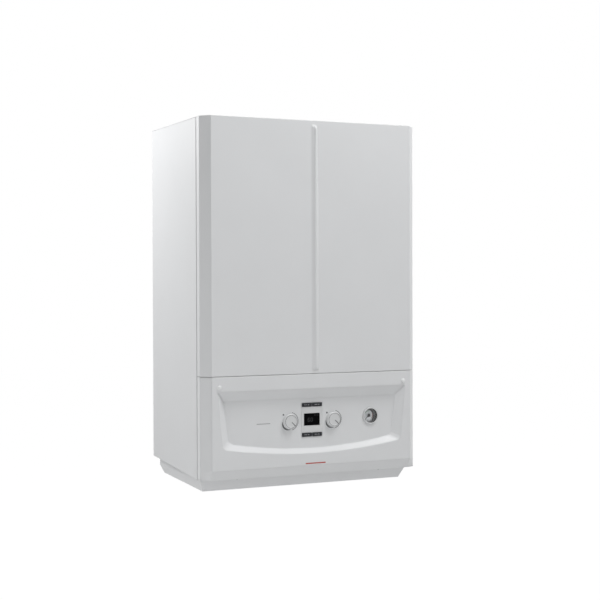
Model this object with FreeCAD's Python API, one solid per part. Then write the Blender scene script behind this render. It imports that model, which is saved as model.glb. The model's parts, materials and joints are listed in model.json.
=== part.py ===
import FreeCAD, Part
import math
import os

# A wall-hung condensing boiler with a storage tank, in millimetres, +Z up.
# X runs across the casing, the wall is the plane Y = 0 and the front faces -Y.
# Z = 0 is the line of the two wall fixings.

V = FreeCAD.Vector
RIGHT = V(1, 0, 0)
BACK = V(0, 1, 0)
UP = V(0, 0, 1)

# Casing
CASING_WIDTH = 600.0
CASING_HEIGHT = 896.0
CASING_DEPTH = 380.0
TOP_ABOVE_FIXINGS = 80.0
SHEET = 1.2
FACET_WIDTH = 22.0
FACET_DEPTH = 24.0
SIDE_RETURN = 18.5
SEAM = 1.0
SIDE_SEAM = 4.0
BACK_PANEL_GAP = 12.0
SIDE_RISE_AT_WALL = 22.0
SIDE_FLANGE = 14.0
FIT = 0.3
RUNNING_FIT = 0.05

# Front cover with its pressed rib and folded hooks
RIB_WIDTH = 13.0
RIB_RISE = 2.2
RIB_CREST = 1.6
RIB_TO_TOP = 10.0
RIB_TO_SEAM = 9.0
HOOK_WIDTH = 20.0
HOOK_DROP = 17.0
HOOK_REACH = 20.0
HOOK_FROM_SIDE = 80.0
PAD_THICK = 6.0
PAD_MARGIN = 34.0

# Fascia with its dished recess
FASCIA_HEIGHT = 256.3
FASCIA_WALL = 2.5
CHIN_HEIGHT = 24.5
CHIN_RECESS = 16.0
RECESS_DEPTH = 16.0
RECESS_TOP = 219.0
RECESS_TOP_FROM_SIDE = 37.0
RECESS_LOW_FROM_SIDE = 49.0
RECESS_LOW = 92.0
RECESS_CORNER_FROM_SIDE = 62.0
RECESS_CORNER_Z = 75.0
RECESS_DIP = 55.5
RECESS_SIDE_WALL = 21.0
RECESS_TOP_WALL = 25.0
RECESS_FOOT_WALL = 11.5
RECESS_BULGE = 0.29
SCREW_FROM_SIDE = 42.5
SCREW_HEIGHT = 230.0
SCREW_BOSS_R = 6.0
CAP_R = 6.0
CAP_RISE = 3.4

# Controls
KNOB_SPREAD = 61.0
KNOB_HEIGHT = 137.0
KNOB_R = 20.0
KNOB_FACE_R = 17.0
KNOB_DEEP = 8.0
KNOB_HOLLOW = 0.8
KNOB_RIM = 2.5
KNOB_STEM_R = 3.0
KNOB_STEM_LENGTH = 12.0
KNOB_STAND_OFF = 0.6
KNOB_POINTER_ANGLE = -45.0
POINTER_WIDTH = 2.2
POINTER_DEPTH = 0.9
BUSH_WALL = 2.2
DISPLAY_WIDTH = 44.0
DISPLAY_TALL = 31.0
DISPLAY_HEIGHT = 139.5
BEZEL_THICK = 0.8
BEZEL_MARGIN = 1.5
BUTTON_WIDTH = 27.6
BUTTON_TALL = 9.4
BUTTON_SPLIT = 1.0
BUTTON_RISE = 1.2
BUTTON_TRAVEL = 1.0
BUTTON_ROUND = 1.5
TOP_BUTTON_HEIGHT = 177.0
LOW_BUTTON_HEIGHT = 101.0
GAUGE_FROM_SIDE = 131.0
GAUGE_HEIGHT = 141.0
GAUGE_R = 20.0
GAUGE_RIM = 2.0
GAUGE_DEEP = 20.0
GAUGE_DIAL_SINK = 11.0
GAUGE_WALL = 1.2
LENS_THICK = 1.2
PIVOT_R = 1.0
NEEDLE_HUB_R = 3.2
NEEDLE_THICK = 0.8
NEEDLE_ANGLE = 225.0
BOX_FROM_SIDE = 76.0
BOX_LOW = 88.0
BOX_HIGH = 190.0
BOX_DEPTH_SHARE = 4 / 19
BOX_WALL = 2.5
BOARD_THICK = 1.6
BOARD_BEHIND_FLOOR = 22.0
BOARD_MARGIN = 3.0
RELAY = 16.0

# Panel hinge at the foot of the fascia
HINGE_BEHIND_FRONT = 32.0
HINGE_HEIGHT = 1.0
HINGE_PIN_R = 2.5
HINGE_EAR_R = 5.0
HINGE_ARM_TALL = 13.0
HINGE_EAR_THICK = 3.0
HINGE_FROM_SIDE = 100.0
LUG_THICK = 5.0
LUG_GAP = 1.0
LUG_TALL = 24.0
LUG_WALL = 1.5

# Chassis
BASE_HEIGHT = 26.0
BASE_BEHIND_FRONT = 49.0
BASE_FLANGE = 19.0
SKIRT_SHEET = 1.5
SKIRT_INSET = 8.0
SKIRT_FOOT_INSET = 22.0
SKIRT_TAPER_BACK = 17.0
SKIRT_REAR_GAP = 30.0
SKIRT_DROP = 33.0
SKIRT_REAR_DROP = 19.0
CROSSBAR_TALL = 40.0
CROSSBAR_DEEP = 15.0
SCREW_TAB_WIDTH = 22.0
CATCH_X = 59.0
CATCH_WIDTH = 18.0
CATCH_RISE = 2.4
CATCH_LENGTH = 26.0

# Wall rail
RAIL_FROM_SIDE = 80.0
RAIL_SHEET = 2.0
RAIL_FOOT = 22.0
RAIL_SHELF = 18.0
RAIL_LIP = 15.0
RAIL_STAND_OFF = 8.0
FIXING_FROM_SIDE = 120.0
FIXING_R = 4.5
FIXING_SLOT = 24.0
HOOK_PLATE_WIDTH = 60.0
HOOK_PLATE_FROM_SIDE = 150.0

# Flue
FLUE_OFFSET = 15.0
FLUE_DEPTH_SHARE = 13 / 38
FLUE_AIR_R = 50.2
FLUE_GAS_R = 30.2
FLUE_WALL = 2.0
FLUE_SOCKET_DEEP = 42.0
FLUE_WEB_TALL = 12.0

# Combustion group
EXCHANGER_CLEAR = 35.0
EXCHANGER_HEIGHT_SHARE = 125 / 448
EXCHANGER_FROM_WALL = 35.0
EXCHANGER_RIB = 4.0
EXCHANGER_RIBS = 2
EXCHANGER_FOOT_WIDE = 20.0
EXCHANGER_FOOT_TALL = 80.0
SEAT_WALL = 3.0
FLUE_SEAT_RISE = 4.0
FLOW_SEAT_SINK = 10.0
HOSE_SEAT_RISE = 20.0
DOOR_THICK = 12.0
DOOR_SKIN = 8.0
DOOR_INSET = 9.0
DOOR_BEVEL = 6.0
DOOR_STUD_R = 7.0
DOOR_BOSS_R = 40.0
DOOR_BOLTS = 6
ELBOW_R = 24.0
ELBOW_STAND_OFF = 38.0
ELBOW_FOOT = 6.0
ELBOW_FLANGE = 5.0
WORKS_CLEAR = 15.0
FAN_BELOW_EXCHANGER = 31.0
FAN_R = 60.0
FAN_DEEP = 52.0
FAN_WALL = 2.5
WHEEL_R = 45.0
WHEEL_DEEP = 30.0
WHEEL_HUB_R = 10.0
WHEEL_BLADES = 9
WHEEL_SHAFT_R = 4.0
WHEEL_PLATE = 2.0
WHEEL_GAP = 4.0
SHAFT_IN_MOTOR = 6.0
BLADE = 1.6
MOTOR_R = 34.0
MOTOR_LONG = 38.0
MOTOR_STEP = 4.0
VENTURI_R = 28.0
VENTURI_BORE = 17.0
VENTURI_LONG = 24.0
VENTURI_STEP = 4.0
GAS_TUBE_R = 6.0
GAS_VALVE_SHARE = 64 / 115
GAS_VALVE_WIDE = 62.0
GAS_VALVE_DEEP = 62.0
GAS_VALVE_TALL = 76.0
GAS_VALVE_BELOW_FAN = 72.0
GAS_VALVE_COIL = 16.0
GAS_TUBE_OFFSET = 12.0
GAS_VALVE_FROM_FRONT = 13.0
GAS_PIPE_SHARE = 80 / 115
GAS_PIPE_BEHIND_VALVE = 47.0
ELECTRODE_R = 5.0
ELECTRODE_SPREAD = 20.0
ELECTRODE_LONG = 34.0

# Water group
TANK_SIDE_CLEAR = 32.0
TANK_MID_CLEAR = 12.0
TANK_REAR_CLEAR = 52.0
TANK_FRONT_CLEAR = 72.0
TANK_DISH = 34.0
TANK_ABOVE_FOOT = 282.0
TANK_BELOW_TOP = 40.0
NOZZLE_DROP = 14.0
STRAP_WIDTH = 28.0
STRAP_THICK = 1.5
STRAP_FROM_END = 110.0
PIPE_R = 9.0
PIPE_BEND = 24.0
STUB_BORE = 7.5
STUB_BORE_DEEP = 30.0
STUB_DROP = 28.0
WIDE_THREAD_R = 13.1
SLIM_THREAD_R = 10.4
THREAD_LONG = 18.0
NUT_R = 17.0
NUT_TALL = 9.0
PIPES_DEPTH_SHARE = 7 / 19
PUMP_FROM_EXCHANGER = 20.0
PUMP_HEIGHT = 130.0
PUMP_R = 48.0
PUMP_DEEP = 50.0
PUMP_MOTOR_R = 41.0
PUMP_CLEAR = 36.5
PUMP_BEVEL = 8.0
PUMP_PORT = 10.0
DIVERTER_X = -20.0
DIVERTER_ABOVE_FOOT = 218.0
DIVERTER_TALL = 46.0
DIVERTER_R = 19.0
DIVERTER_PORT = 12.0
DIVERTER_NECK = 6.0
ACTUATOR_WIDE = 46.0
ACTUATOR_CLEAR = 60.5
ACTUATOR_TALL = 34.0
FLOW_PIPE_RISE = 35.0
FLOW_INLET_SHARE = 70 / 115
COIL_FLOW_SHARE = -80 / 128
COIL_RETURN_SHARE = -32 / 128
COIL_RETURN_AHEAD = 50.0
COIL_RETURN_HEIGHT = 48.0
COLD_SHARE = 10 / 128
HOT_SHARE = 65 / 128
VESSEL_CLEAR = 12.0
VESSEL_BELOW_EXCHANGER = 9.0
VESSEL_BEHIND_PIPES = 52.0
VESSEL_RIM = 6.0
TRAP_SHARE = 85 / 115
TRAP_AHEAD = 10.0
TRAP_R = 31.0
TRAP_ABOVE_FOOT = 191.0
TRAP_TALL = 140.0
TRAP_SPIGOT_R = 10.0
TRAP_BARB_R = 10.6
TRAP_LID = 11.0
HOSE_R = 9.0
RELIEF_ABOVE_PUMP = 86.0
RELIEF_STEM_R = 3.0
RELIEF_STEM = 8.0
RELIEF_LONG = 42.0
RELIEF_R = 12.0
RELIEF_KNOB_R = 17.0
RELIEF_KNOB_DEEP = 18.0
RELIEF_FLUTE = 0.86
FILL_FROM_DIVERTER = 82.0
FILL_R = 11.0
FILL_BODY_TALL = 24.0
FILL_LEVER = 30.0
FILL_LEVER_TALL = 12.0
FILL_HUB_R = 9.0
FILL_PORT = 14.0
FILL_STEM_R = 4.0

# Flats round the many-sided inner pieces
WIDE_SIDES = 20
ROUND_SIDES = 14
SLIM_SIDES = 8
KNOB_SIDES = 24
BEND_STEPS = 3
CORNER_STEPS = 2
DIP_STEPS = 12

# Places that follow from the sizes above
HALF = CASING_WIDTH / 2
FRONT = -CASING_DEPTH
TOP = TOP_ABOVE_FIXINGS
FOOT = TOP - CASING_HEIGHT
FACET_BACK = FRONT + FACET_DEPTH
COVER_BACK = FACET_BACK + SIDE_RETURN
SIDE_FRONT = COVER_BACK + SIDE_SEAM
COVER_FOOT = FOOT + FASCIA_HEIGHT + SEAM
HOOK_SPREAD = HALF - HOOK_FROM_SIDE
RECESS_TOP_HALF = HALF - RECESS_TOP_FROM_SIDE
RECESS_LOW_HALF = HALF - RECESS_LOW_FROM_SIDE
RECESS_CORNER_X = HALF - RECESS_CORNER_FROM_SIDE
RECESS_FLOOR = FRONT + RECESS_DEPTH
FLOOR_BACK = RECESS_FLOOR + FASCIA_WALL
SCREW_SPREAD = HALF - SCREW_FROM_SIDE
GAUGE_X = HALF - GAUGE_FROM_SIDE
BOX_HALF = HALF - BOX_FROM_SIDE
BOX_DEEP = CASING_DEPTH * BOX_DEPTH_SHARE
BOX_BACK = FLOOR_BACK + BOX_DEEP
BACK_PANEL_FRONT = -BACK_PANEL_GAP - SHEET
BASE_FRONT = FRONT + BASE_BEHIND_FRONT
BASE_UNDER = FOOT + BASE_HEIGHT
HINGE_SPREAD = HALF - HINGE_FROM_SIDE
HINGE_Y = FRONT + HINGE_BEHIND_FRONT
HINGE_Z = FOOT + HINGE_HEIGHT
RAIL_LENGTH = CASING_WIDTH - 2 * RAIL_FROM_SIDE
FIXING_SPREAD = CASING_WIDTH - 2 * FIXING_FROM_SIDE
HOOK_PLATE_SPREAD = HALF - HOOK_PLATE_FROM_SIDE
STUB_FOOT = FOOT - STUB_DROP
FAN_FRONT = FRONT + WORKS_CLEAR + VENTURI_LONG
FAN_BACK = FAN_FRONT + FAN_DEEP
FAN_Y = FAN_FRONT + FAN_DEEP / 2
DOOR_FRONT = FAN_Y + ELBOW_STAND_OFF
EXCHANGER_FRONT = DOOR_FRONT + DOOR_THICK
EXCHANGER_LONG = -EXCHANGER_FROM_WALL - EXCHANGER_FRONT
EXCHANGER_R = HALF / 2 - EXCHANGER_CLEAR
EXCHANGER_X = -EXCHANGER_CLEAR - EXCHANGER_R
EXCHANGER_Z = TOP - CASING_HEIGHT * EXCHANGER_HEIGHT_SHARE
DOOR_R = EXCHANGER_R - DOOR_INSET
FLUE_X = EXCHANGER_X - FLUE_OFFSET
FLUE_Y = FRONT * FLUE_DEPTH_SHARE
FAN_Z = EXCHANGER_Z - EXCHANGER_R - MOTOR_R - FAN_BELOW_EXCHANGER
GAS_VALVE_X = EXCHANGER_X - EXCHANGER_R * GAS_VALVE_SHARE
GAS_VALVE_FRONT = FRONT + GAS_VALVE_FROM_FRONT
GAS_VALVE_BACK = GAS_VALVE_FRONT + GAS_VALVE_DEEP
GAS_VALVE_TOP = FAN_Z - GAS_VALVE_BELOW_FAN
GAS_TUBE_X = GAS_VALVE_X - GAS_TUBE_OFFSET
GAS_TUBE_Y = FAN_FRONT - VENTURI_LONG / 2
GAS_PIPE_X = EXCHANGER_X - EXCHANGER_R * GAS_PIPE_SHARE
GAS_PIPE_Y = GAS_VALVE_BACK + GAS_PIPE_BEHIND_VALVE
PIPE_Y = FRONT * PIPES_DEPTH_SHARE
PUMP_X = EXCHANGER_X + PUMP_FROM_EXCHANGER
PUMP_Z = FOOT + PUMP_HEIGHT
PUMP_BACK = PIPE_Y + PUMP_DEEP / 2
PUMP_LONG = PUMP_BACK - BOX_BACK - PUMP_CLEAR
TANK_R = min(HALF - TANK_SIDE_CLEAR - TANK_MID_CLEAR, CASING_DEPTH - TANK_REAR_CLEAR - TANK_FRONT_CLEAR) / 2
TANK_X = HALF - TANK_SIDE_CLEAR - TANK_R
TANK_Y = -TANK_REAR_CLEAR - TANK_R
TANK_BOTTOM = FOOT + TANK_ABOVE_FOOT
TANK_TOP = TOP - TANK_BELOW_TOP
TANK_NOZZLE_FOOT = TANK_BOTTOM - NOZZLE_DROP
DIVERTER_TOP = FOOT + DIVERTER_ABOVE_FOOT
DIVERTER_MID = DIVERTER_TOP - DIVERTER_TALL / 2
ACTUATOR_BACK = PIPE_Y - DIVERTER_R - DIVERTER_NECK
ACTUATOR_FRONT = BOX_BACK + ACTUATOR_CLEAR
FLOW_INLET_X = EXCHANGER_X + EXCHANGER_R * FLOW_INLET_SHARE
COIL_FLOW_X = TANK_X + TANK_R * COIL_FLOW_SHARE
COIL_RETURN_X = TANK_X + TANK_R * COIL_RETURN_SHARE
COIL_RETURN_Y = PIPE_Y - COIL_RETURN_AHEAD
COLD_X = TANK_X + TANK_R * COLD_SHARE
HOT_X = TANK_X + TANK_R * HOT_SHARE
VESSEL_R = HALF / 2 - VESSEL_CLEAR
VESSEL_X = -VESSEL_CLEAR - VESSEL_R
VESSEL_Z = EXCHANGER_Z - EXCHANGER_R - VESSEL_R - VESSEL_BELOW_EXCHANGER
VESSEL_DEEP = -PIPE_Y - VESSEL_BEHIND_PIPES
TRAP_X = EXCHANGER_X - EXCHANGER_R * TRAP_SHARE
TRAP_Y = PIPE_Y - TRAP_AHEAD
TRAP_TOP = FOOT + TRAP_ABOVE_FOOT
RELIEF_Z = PUMP_Z + RELIEF_ABOVE_PUMP
FILL_X = DIVERTER_X + FILL_FROM_DIVERTER


def block(x0, x1, y0, y1, z0, z1):
    """A box between two corners."""
    return Part.makeBox(x1 - x0, y1 - y0, z1 - z0, V(x0, y0, z0))


def rod(start, axis, radius, length):
    """A round bar."""
    return Part.makeCylinder(radius, length, start, axis)


def flats(centre, axis, radius, sides):
    """Corners of a regular polygon across an axis that runs along X, Y or Z."""
    across = BACK if abs(axis.x) > 0.5 else RIGHT
    third = axis.cross(across)
    corners = []
    for i in range(sides):
        angle = 2 * math.pi * (i + 0.5) / sides
        corners.append(centre + across * (radius * math.cos(angle)) + third * (radius * math.sin(angle)))
    return corners


def bar(start, axis, radius, length, sides=SLIM_SIDES):
    """A many-sided bar."""
    return prism(flats(start, axis, radius, sides), axis * length)


def tube(start, axis, outer, inner, length, sides=WIDE_SIDES):
    """A many-sided tube."""
    return bar(start, axis, outer, length, sides).cut(bar(start, axis, inner, length, sides))


def outline(points):
    """A closed wire of straight runs."""
    return Part.makePolygon(list(points) + [points[0]])


def prism(points, travel):
    """A flat polygon carried along a vector."""
    return Part.Face(outline(points)).extrude(travel)


def frustum(lower, upper):
    """A straight-sided solid between two wires of like corners."""
    return Part.makeLoft([lower, upper], True, True)


def strip(low, high):
    """Flat faces between two rings of corners, either of which may be a single point."""
    count = max(len(low), len(high))
    faces = []
    for i in range(count):
        j = (i + 1) % count
        corners = [low[i], low[j]] if len(low) > 1 else [low[0]]
        corners += [high[j], high[i]] if len(high) > 1 else [high[0]]
        faces.append(Part.Face(outline(corners)))
    return faces


def closed_solid(faces):
    """A solid from the flat faces that bound it, with its faces outward."""
    solid = Part.Solid(Part.Shell(faces))
    if solid.Volume < 0:
        solid.reverse()
    return solid.removeSplitter()


def turned(profile, centre, axis, sides=ROUND_SIDES):
    """A many-sided turned solid from a closed run of (radius, distance along the axis) pairs."""
    rings = []
    for radius, height in profile:
        at = centre + axis * height
        rings.append(flats(at, axis, radius, sides) if radius > 0 else [at])
    faces = []
    for low, high in zip(rings, rings[1:] + rings[:1]):
        if len(low) + len(high) > 2:
            faces += strip(low, high)
    return closed_solid(faces)


def bent_pipe(points, radius, bend, sides=SLIM_SIDES):
    """A many-sided pipe along straight runs joined by tangent bends."""
    at = points[0]
    loop = flats(at, (points[1] - at).normalize(), radius, sides)
    loops = [loop]
    for before, corner, after in zip(points, points[1:], points[2:]):
        into = (corner - before).normalize()
        out = (after - corner).normalize()
        turn = into.getAngle(out)
        first = corner - into * (bend * math.tan(turn / 2))
        pivot = first + (out - into * into.dot(out)).normalize() * bend
        hinge = into.cross(out)
        loop = [p + first - at for p in loop]
        loops.append(loop)
        for step in range(1, BEND_STEPS + 1):
            spin = FreeCAD.Rotation(hinge, math.degrees(turn) * step / BEND_STEPS)
            loops.append([pivot + spin.multVec(p - pivot) for p in loop])
        loop = loops[-1]
        at = corner + out * (bend * math.tan(turn / 2))
    loops.append([p + points[-1] - at for p in loop])
    faces = [Part.Face(outline(loops[0])), Part.Face(outline(loops[-1]))]
    for low, high in zip(loops, loops[1:]):
        faces += strip(low, high)
    return closed_solid(faces)


def rounded_plate(x0, x1, z0, z1, y0, y1, radius):
    """A plate facing the front with rounded corners."""
    points = []
    centres = ((x1, z1, 0), (x0, z1, 90), (x0, z0, 180), (x1, z0, 270))
    for x, z, start in centres:
        mid_x = x - math.copysign(radius, x - (x0 + x1) / 2)
        mid_z = z - math.copysign(radius, z - (z0 + z1) / 2)
        for step in range(CORNER_STEPS + 1):
            angle = math.radians(start + 90 * step / CORNER_STEPS)
            points.append(V(mid_x + radius * math.cos(angle), y0, mid_z + radius * math.sin(angle)))
    return prism(points, BACK * (y1 - y0))


def front_plan(inset, back, z, chin=0.0):
    """Plan outline of the faceted front, set in by a wall, at one height."""
    slope = math.hypot(FACET_WIDTH, FACET_DEPTH)
    side = HALF - inset
    front = FRONT + inset + chin
    corner = inset * (slope - FACET_DEPTH) / FACET_WIDTH
    shoulder = inset * (slope - FACET_WIDTH) / FACET_DEPTH
    face = HALF - FACET_WIDTH - shoulder
    facet = FACET_BACK + corner
    half = [V(side, back, z), V(side, facet, z), V(face, front, z)]
    return half + [V(-p.x, p.y, z) for p in reversed(half)]


def front_shell(z0, z1, wall, chin_height, chin):
    """A faceted pan open to the back, with an optional sloping chin at its foot."""
    outer = prism(front_plan(0, COVER_BACK, z0 + chin_height), V(0, 0, z1 - z0 - chin_height))
    open_back = COVER_BACK + SEAM
    hollow_foot = z0 + max(chin_height, wall)
    hollow = prism(front_plan(wall, open_back, hollow_foot), V(0, 0, z1 - wall - hollow_foot))
    if not chin:
        return outer.cut(hollow)
    outer_chin = frustum(outline(front_plan(0, COVER_BACK, z0, chin)),
                         outline(front_plan(0, COVER_BACK, z0 + chin_height)))
    inner_chin = frustum(outline(front_plan(wall, open_back, z0 + wall, chin)),
                         outline(front_plan(wall, open_back, hollow_foot)))
    return outer.fuse(outer_chin).cut(hollow).cut(inner_chin).removeSplitter()


def rib(back):
    """The long pressed rib of the cover, moved back by a sheet for its hollow."""
    half = RIB_WIDTH / 2
    low = COVER_FOOT + RIB_TO_SEAM
    high = TOP - RIB_TO_TOP
    crest = RIB_CREST / 2
    base = FRONT + back
    top = base - RIB_RISE
    foot = outline([V(x, base, z) for x, z in ((-half, low), (half, low), (half, high), (-half, high))])
    ridge = outline([V(x, top, z) for x, z in ((-crest, low + half), (crest, low + half),
                                               (crest, high - half), (-crest, high - half))])
    return frustum(foot, ridge)


def cover_hook(x, flange_z, turn):
    """A folded hook of the cover: down or up from a flange, then back through a slot."""
    fold_y = COVER_BACK - 2 * SHEET
    end_z = flange_z + turn * HOOK_DROP
    upright = [V(x, fold_y, flange_z), V(x, fold_y + SHEET, flange_z),
               V(x, fold_y + SHEET, end_z - turn * SHEET), V(x, fold_y + HOOK_REACH, end_z - turn * SHEET),
               V(x, fold_y + HOOK_REACH, end_z), V(x, fold_y, end_z)]
    return prism(upright, RIGHT * HOOK_WIDTH)


def hook_starts():
    """Left edges of the two hooks in each row."""
    return [-HOOK_SPREAD - HOOK_WIDTH / 2, HOOK_SPREAD - HOOK_WIDTH / 2]


def hook_slot(x, flange_z, turn, y0, y1):
    """The clearance slot that a hook passes through."""
    end_z = flange_z + turn * HOOK_DROP
    low = min(end_z, end_z - turn * SHEET) - 2 * FIT
    high = max(end_z, end_z - turn * SHEET) + 2 * FIT
    return block(x - 2 * FIT, x + HOOK_WIDTH + 2 * FIT, y0, y1, low, high)


def front_cover():
    """The painted steel front with corner facets, a rib and hooks."""
    shell = front_shell(COVER_FOOT, TOP, SHEET, 0, 0)
    shell = shell.fuse(rib(0)).cut(rib(SHEET))
    shell = shell.cut(block(-HALF, HALF, COVER_BACK - SHEET, COVER_BACK + SEAM,
                            COVER_FOOT - SHEET, TOP + SHEET).cut(
        block(-HALF - 1, HALF + 1, FRONT, COVER_BACK + SEAM, COVER_FOOT + SHEET, TOP - SHEET)))
    for x in hook_starts():
        shell = shell.fuse(cover_hook(x, TOP - SHEET, -1))
        shell = shell.fuse(cover_hook(x, COVER_FOOT + SHEET, 1))
    return shell.removeSplitter()


def cover_insulation():
    """Two foam pads behind the cover, one on each side of the rib."""
    inner = RIB_WIDTH / 2 + 2 * PAD_THICK
    outer = HALF - FACET_WIDTH - PAD_MARGIN / 2
    face = FRONT + SHEET
    pads = []
    for x0, x1 in ((-outer, -inner), (inner, outer)):
        pads.append(rounded_plate(x0, x1, COVER_FOOT + PAD_MARGIN, TOP - PAD_MARGIN,
                                  face, face + PAD_THICK, PAD_THICK))
    return Part.makeCompound(pads)


def smile(inset_side, inset_top, inset_foot, y):
    """Corners of the fascia recess: flat top, slanting sides, round corners and a dipping foot."""
    top = FOOT + RECESS_TOP - inset_top
    top_half = RECESS_TOP_HALF - inset_side
    low_half = RECESS_LOW_HALF - inset_side
    low = FOOT + RECESS_LOW + inset_foot
    corner_x = RECESS_CORNER_X - inset_side
    corner_z = FOOT + RECESS_CORNER_Z + inset_foot
    dip = FOOT + RECESS_DIP + inset_foot
    mid_x = low_half - RECESS_BULGE * (low_half - corner_x)
    mid_z = corner_z + RECESS_BULGE * (low - corner_z)
    right = [V(low_half, y, low), V(mid_x, y, mid_z), V(corner_x, y, corner_z)]
    corner = Part.Arc(*right).discretize(CORNER_STEPS + 2)
    foot = Part.Arc(right[2], V(0, y, dip), V(-corner_x, y, corner_z)).discretize(DIP_STEPS + 1)
    points = [V(top_half, y, top)] + corner + foot[1:]
    return points + [V(-p.x, y, p.z) for p in reversed(corner[:-1])] + [V(-top_half, y, top)]


def dish(wall):
    """The recess as a solid, grown by a wall."""
    mouth = smile(-wall, -wall, -wall, FRONT)
    floor = smile(RECESS_SIDE_WALL - wall, RECESS_TOP_WALL - wall, RECESS_FOOT_WALL - wall, RECESS_FLOOR + wall)
    faces = [Part.Face(outline(mouth)), Part.Face(outline(floor))]
    for i in range(len(mouth)):
        j = (i + 1) % len(mouth)
        faces.append(Part.Face(outline([mouth[i], mouth[j], floor[j]])))
        faces.append(Part.Face(outline([mouth[i], floor[j], floor[i]])))
    return closed_solid(faces)


def button_places():
    """Node names and lower left corners of the four buttons."""
    places = {}
    rows = (("top", TOP_BUTTON_HEIGHT), ("lower", LOW_BUTTON_HEIGHT))
    for row, height in rows:
        low = FOOT + height - BUTTON_TALL / 2
        places[row + "_left_button"] = (-BUTTON_WIDTH - BUTTON_SPLIT / 2, low)
        places[row + "_right_button"] = (BUTTON_SPLIT / 2, low)
    return places


def display_box(grow, y0, y1):
    """The display window grown by a margin, between two depths."""
    half = DISPLAY_WIDTH / 2 + grow
    middle = FOOT + DISPLAY_HEIGHT
    return block(-half, half, y0, y1, middle - DISPLAY_TALL / 2 - grow, middle + DISPLAY_TALL / 2 + grow)


def knob_centres():
    """Centres of the two knobs on the recess floor."""
    return [V(x, RECESS_FLOOR, FOOT + KNOB_HEIGHT) for x in (-KNOB_SPREAD, KNOB_SPREAD)]


def gauge_centre(y):
    """The axis of the pressure gauge at one depth."""
    return V(GAUGE_X, y, FOOT + GAUGE_HEIGHT)


def hinge_lug(side):
    """A moulded lug of the fascia with its pivot pin, beside one chassis ear."""
    inner = HINGE_SPREAD + HINGE_EAR_THICK / 2 + LUG_GAP
    wall = FRONT + CHIN_RECESS
    reach = HINGE_PIN_R + LUG_WALL
    profile = [V(inner, wall, FOOT), V(inner, HINGE_Y, HINGE_Z - reach), V(inner, HINGE_Y + reach, HINGE_Z),
               V(inner, HINGE_Y + reach, HINGE_Z + reach), V(inner, wall, FOOT + LUG_TALL)]
    lug = prism(profile, RIGHT * LUG_THICK)
    span = HINGE_EAR_THICK + 2 * LUG_GAP
    lug = lug.fuse(rod(V(inner - span, HINGE_Y, HINGE_Z), RIGHT, HINGE_PIN_R, span + LUG_THICK))
    if side < 0:
        return lug.mirror(V(0, 0, 0), RIGHT)
    return lug


def fascia():
    """The moulded control panel front: facets, chin, dished recess, bushes, bosses and hinge lugs."""
    shell = front_shell(FOOT, FOOT + FASCIA_HEIGHT, FASCIA_WALL, CHIN_HEIGHT, CHIN_RECESS)
    keep_foot = HINGE_Y - HINGE_EAR_R - 2 * FIT
    shell = shell.cut(block(-HALF, HALF, keep_foot, COVER_BACK + SEAM, FOOT - 1, FOOT + FASCIA_WALL + FIT))
    shell = shell.fuse(dish(FASCIA_WALL)).cut(dish(0))
    for side in (-1, 1):
        boss_face = FRONT + FASCIA_WALL / 2
        boss_end = SIDE_FRONT - FIT
        at = V(side * SCREW_SPREAD, boss_face, FOOT + SCREW_HEIGHT)
        shell = shell.fuse(bar(at, BACK, SCREW_BOSS_R, boss_end - boss_face))
        shell = shell.fuse(hinge_lug(side))
    for centre in knob_centres():
        bush = KNOB_STEM_R + BUSH_WALL
        shell = shell.fuse(bar(centre, BACK, bush, FASCIA_WALL + KNOB_STEM_LENGTH / 2))
        shell = shell.cut(rod(centre - BACK, BACK, KNOB_STEM_R + RUNNING_FIT, KNOB_STEM_LENGTH * 2))
    for x, z in button_places().values():
        shell = shell.cut(block(x + BUTTON_ROUND - FIT, x + BUTTON_WIDTH - BUTTON_ROUND + FIT, RECESS_FLOOR - 1,
                                FLOOR_BACK + 1, z + BUTTON_ROUND - FIT, z + BUTTON_TALL - BUTTON_ROUND + FIT))
    shell = shell.cut(display_box(0, RECESS_FLOOR - 1, FLOOR_BACK + 1))
    shell = shell.cut(bar(gauge_centre(RECESS_FLOOR - 1), BACK, GAUGE_R, RECESS_DEPTH, KNOB_SIDES))
    return shell.removeSplitter()


def screw_caps():
    """Two domed caps over the fascia screws."""
    caps = []
    profile = [(0, 0), (CAP_R, 0), (CAP_R * 0.92, CAP_RISE * 0.4), (CAP_R * 0.64, CAP_RISE * 0.8), (0, CAP_RISE)]
    for side in (-1, 1):
        caps.append(turned(profile, V(side * SCREW_SPREAD, FRONT, FOOT + SCREW_HEIGHT), -BACK))
    return Part.makeCompound(caps)


def knob(centre):
    """A conical knob with a pointer groove, a finger rim and a stem."""
    face = KNOB_DEEP
    floor = face - KNOB_HOLLOW
    profile = [(0, 0), (KNOB_R - 1, 0), (KNOB_R, 1), (KNOB_R, KNOB_RIM), (KNOB_FACE_R + 0.8, face - 1),
               (KNOB_FACE_R, face), (KNOB_FACE_R - 1.5, face), (KNOB_FACE_R - 3, floor), (0, floor)]
    stand = V(centre.x, centre.y - KNOB_STAND_OFF, centre.z)
    body = turned(profile, stand, -BACK, KNOB_SIDES)
    half = POINTER_WIDTH / 2
    pointer = block(KNOB_FACE_R * 0.15, KNOB_FACE_R - 1, 0, POINTER_DEPTH + 1, -half, half)
    pointer.rotate(V(0, 0, 0), -BACK, KNOB_POINTER_ANGLE)
    pointer.translate(stand - BACK * (floor + 1))
    stem = rod(stand, BACK, KNOB_STEM_R, KNOB_STEM_LENGTH)
    return body.cut(pointer).fuse(stem)


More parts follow.
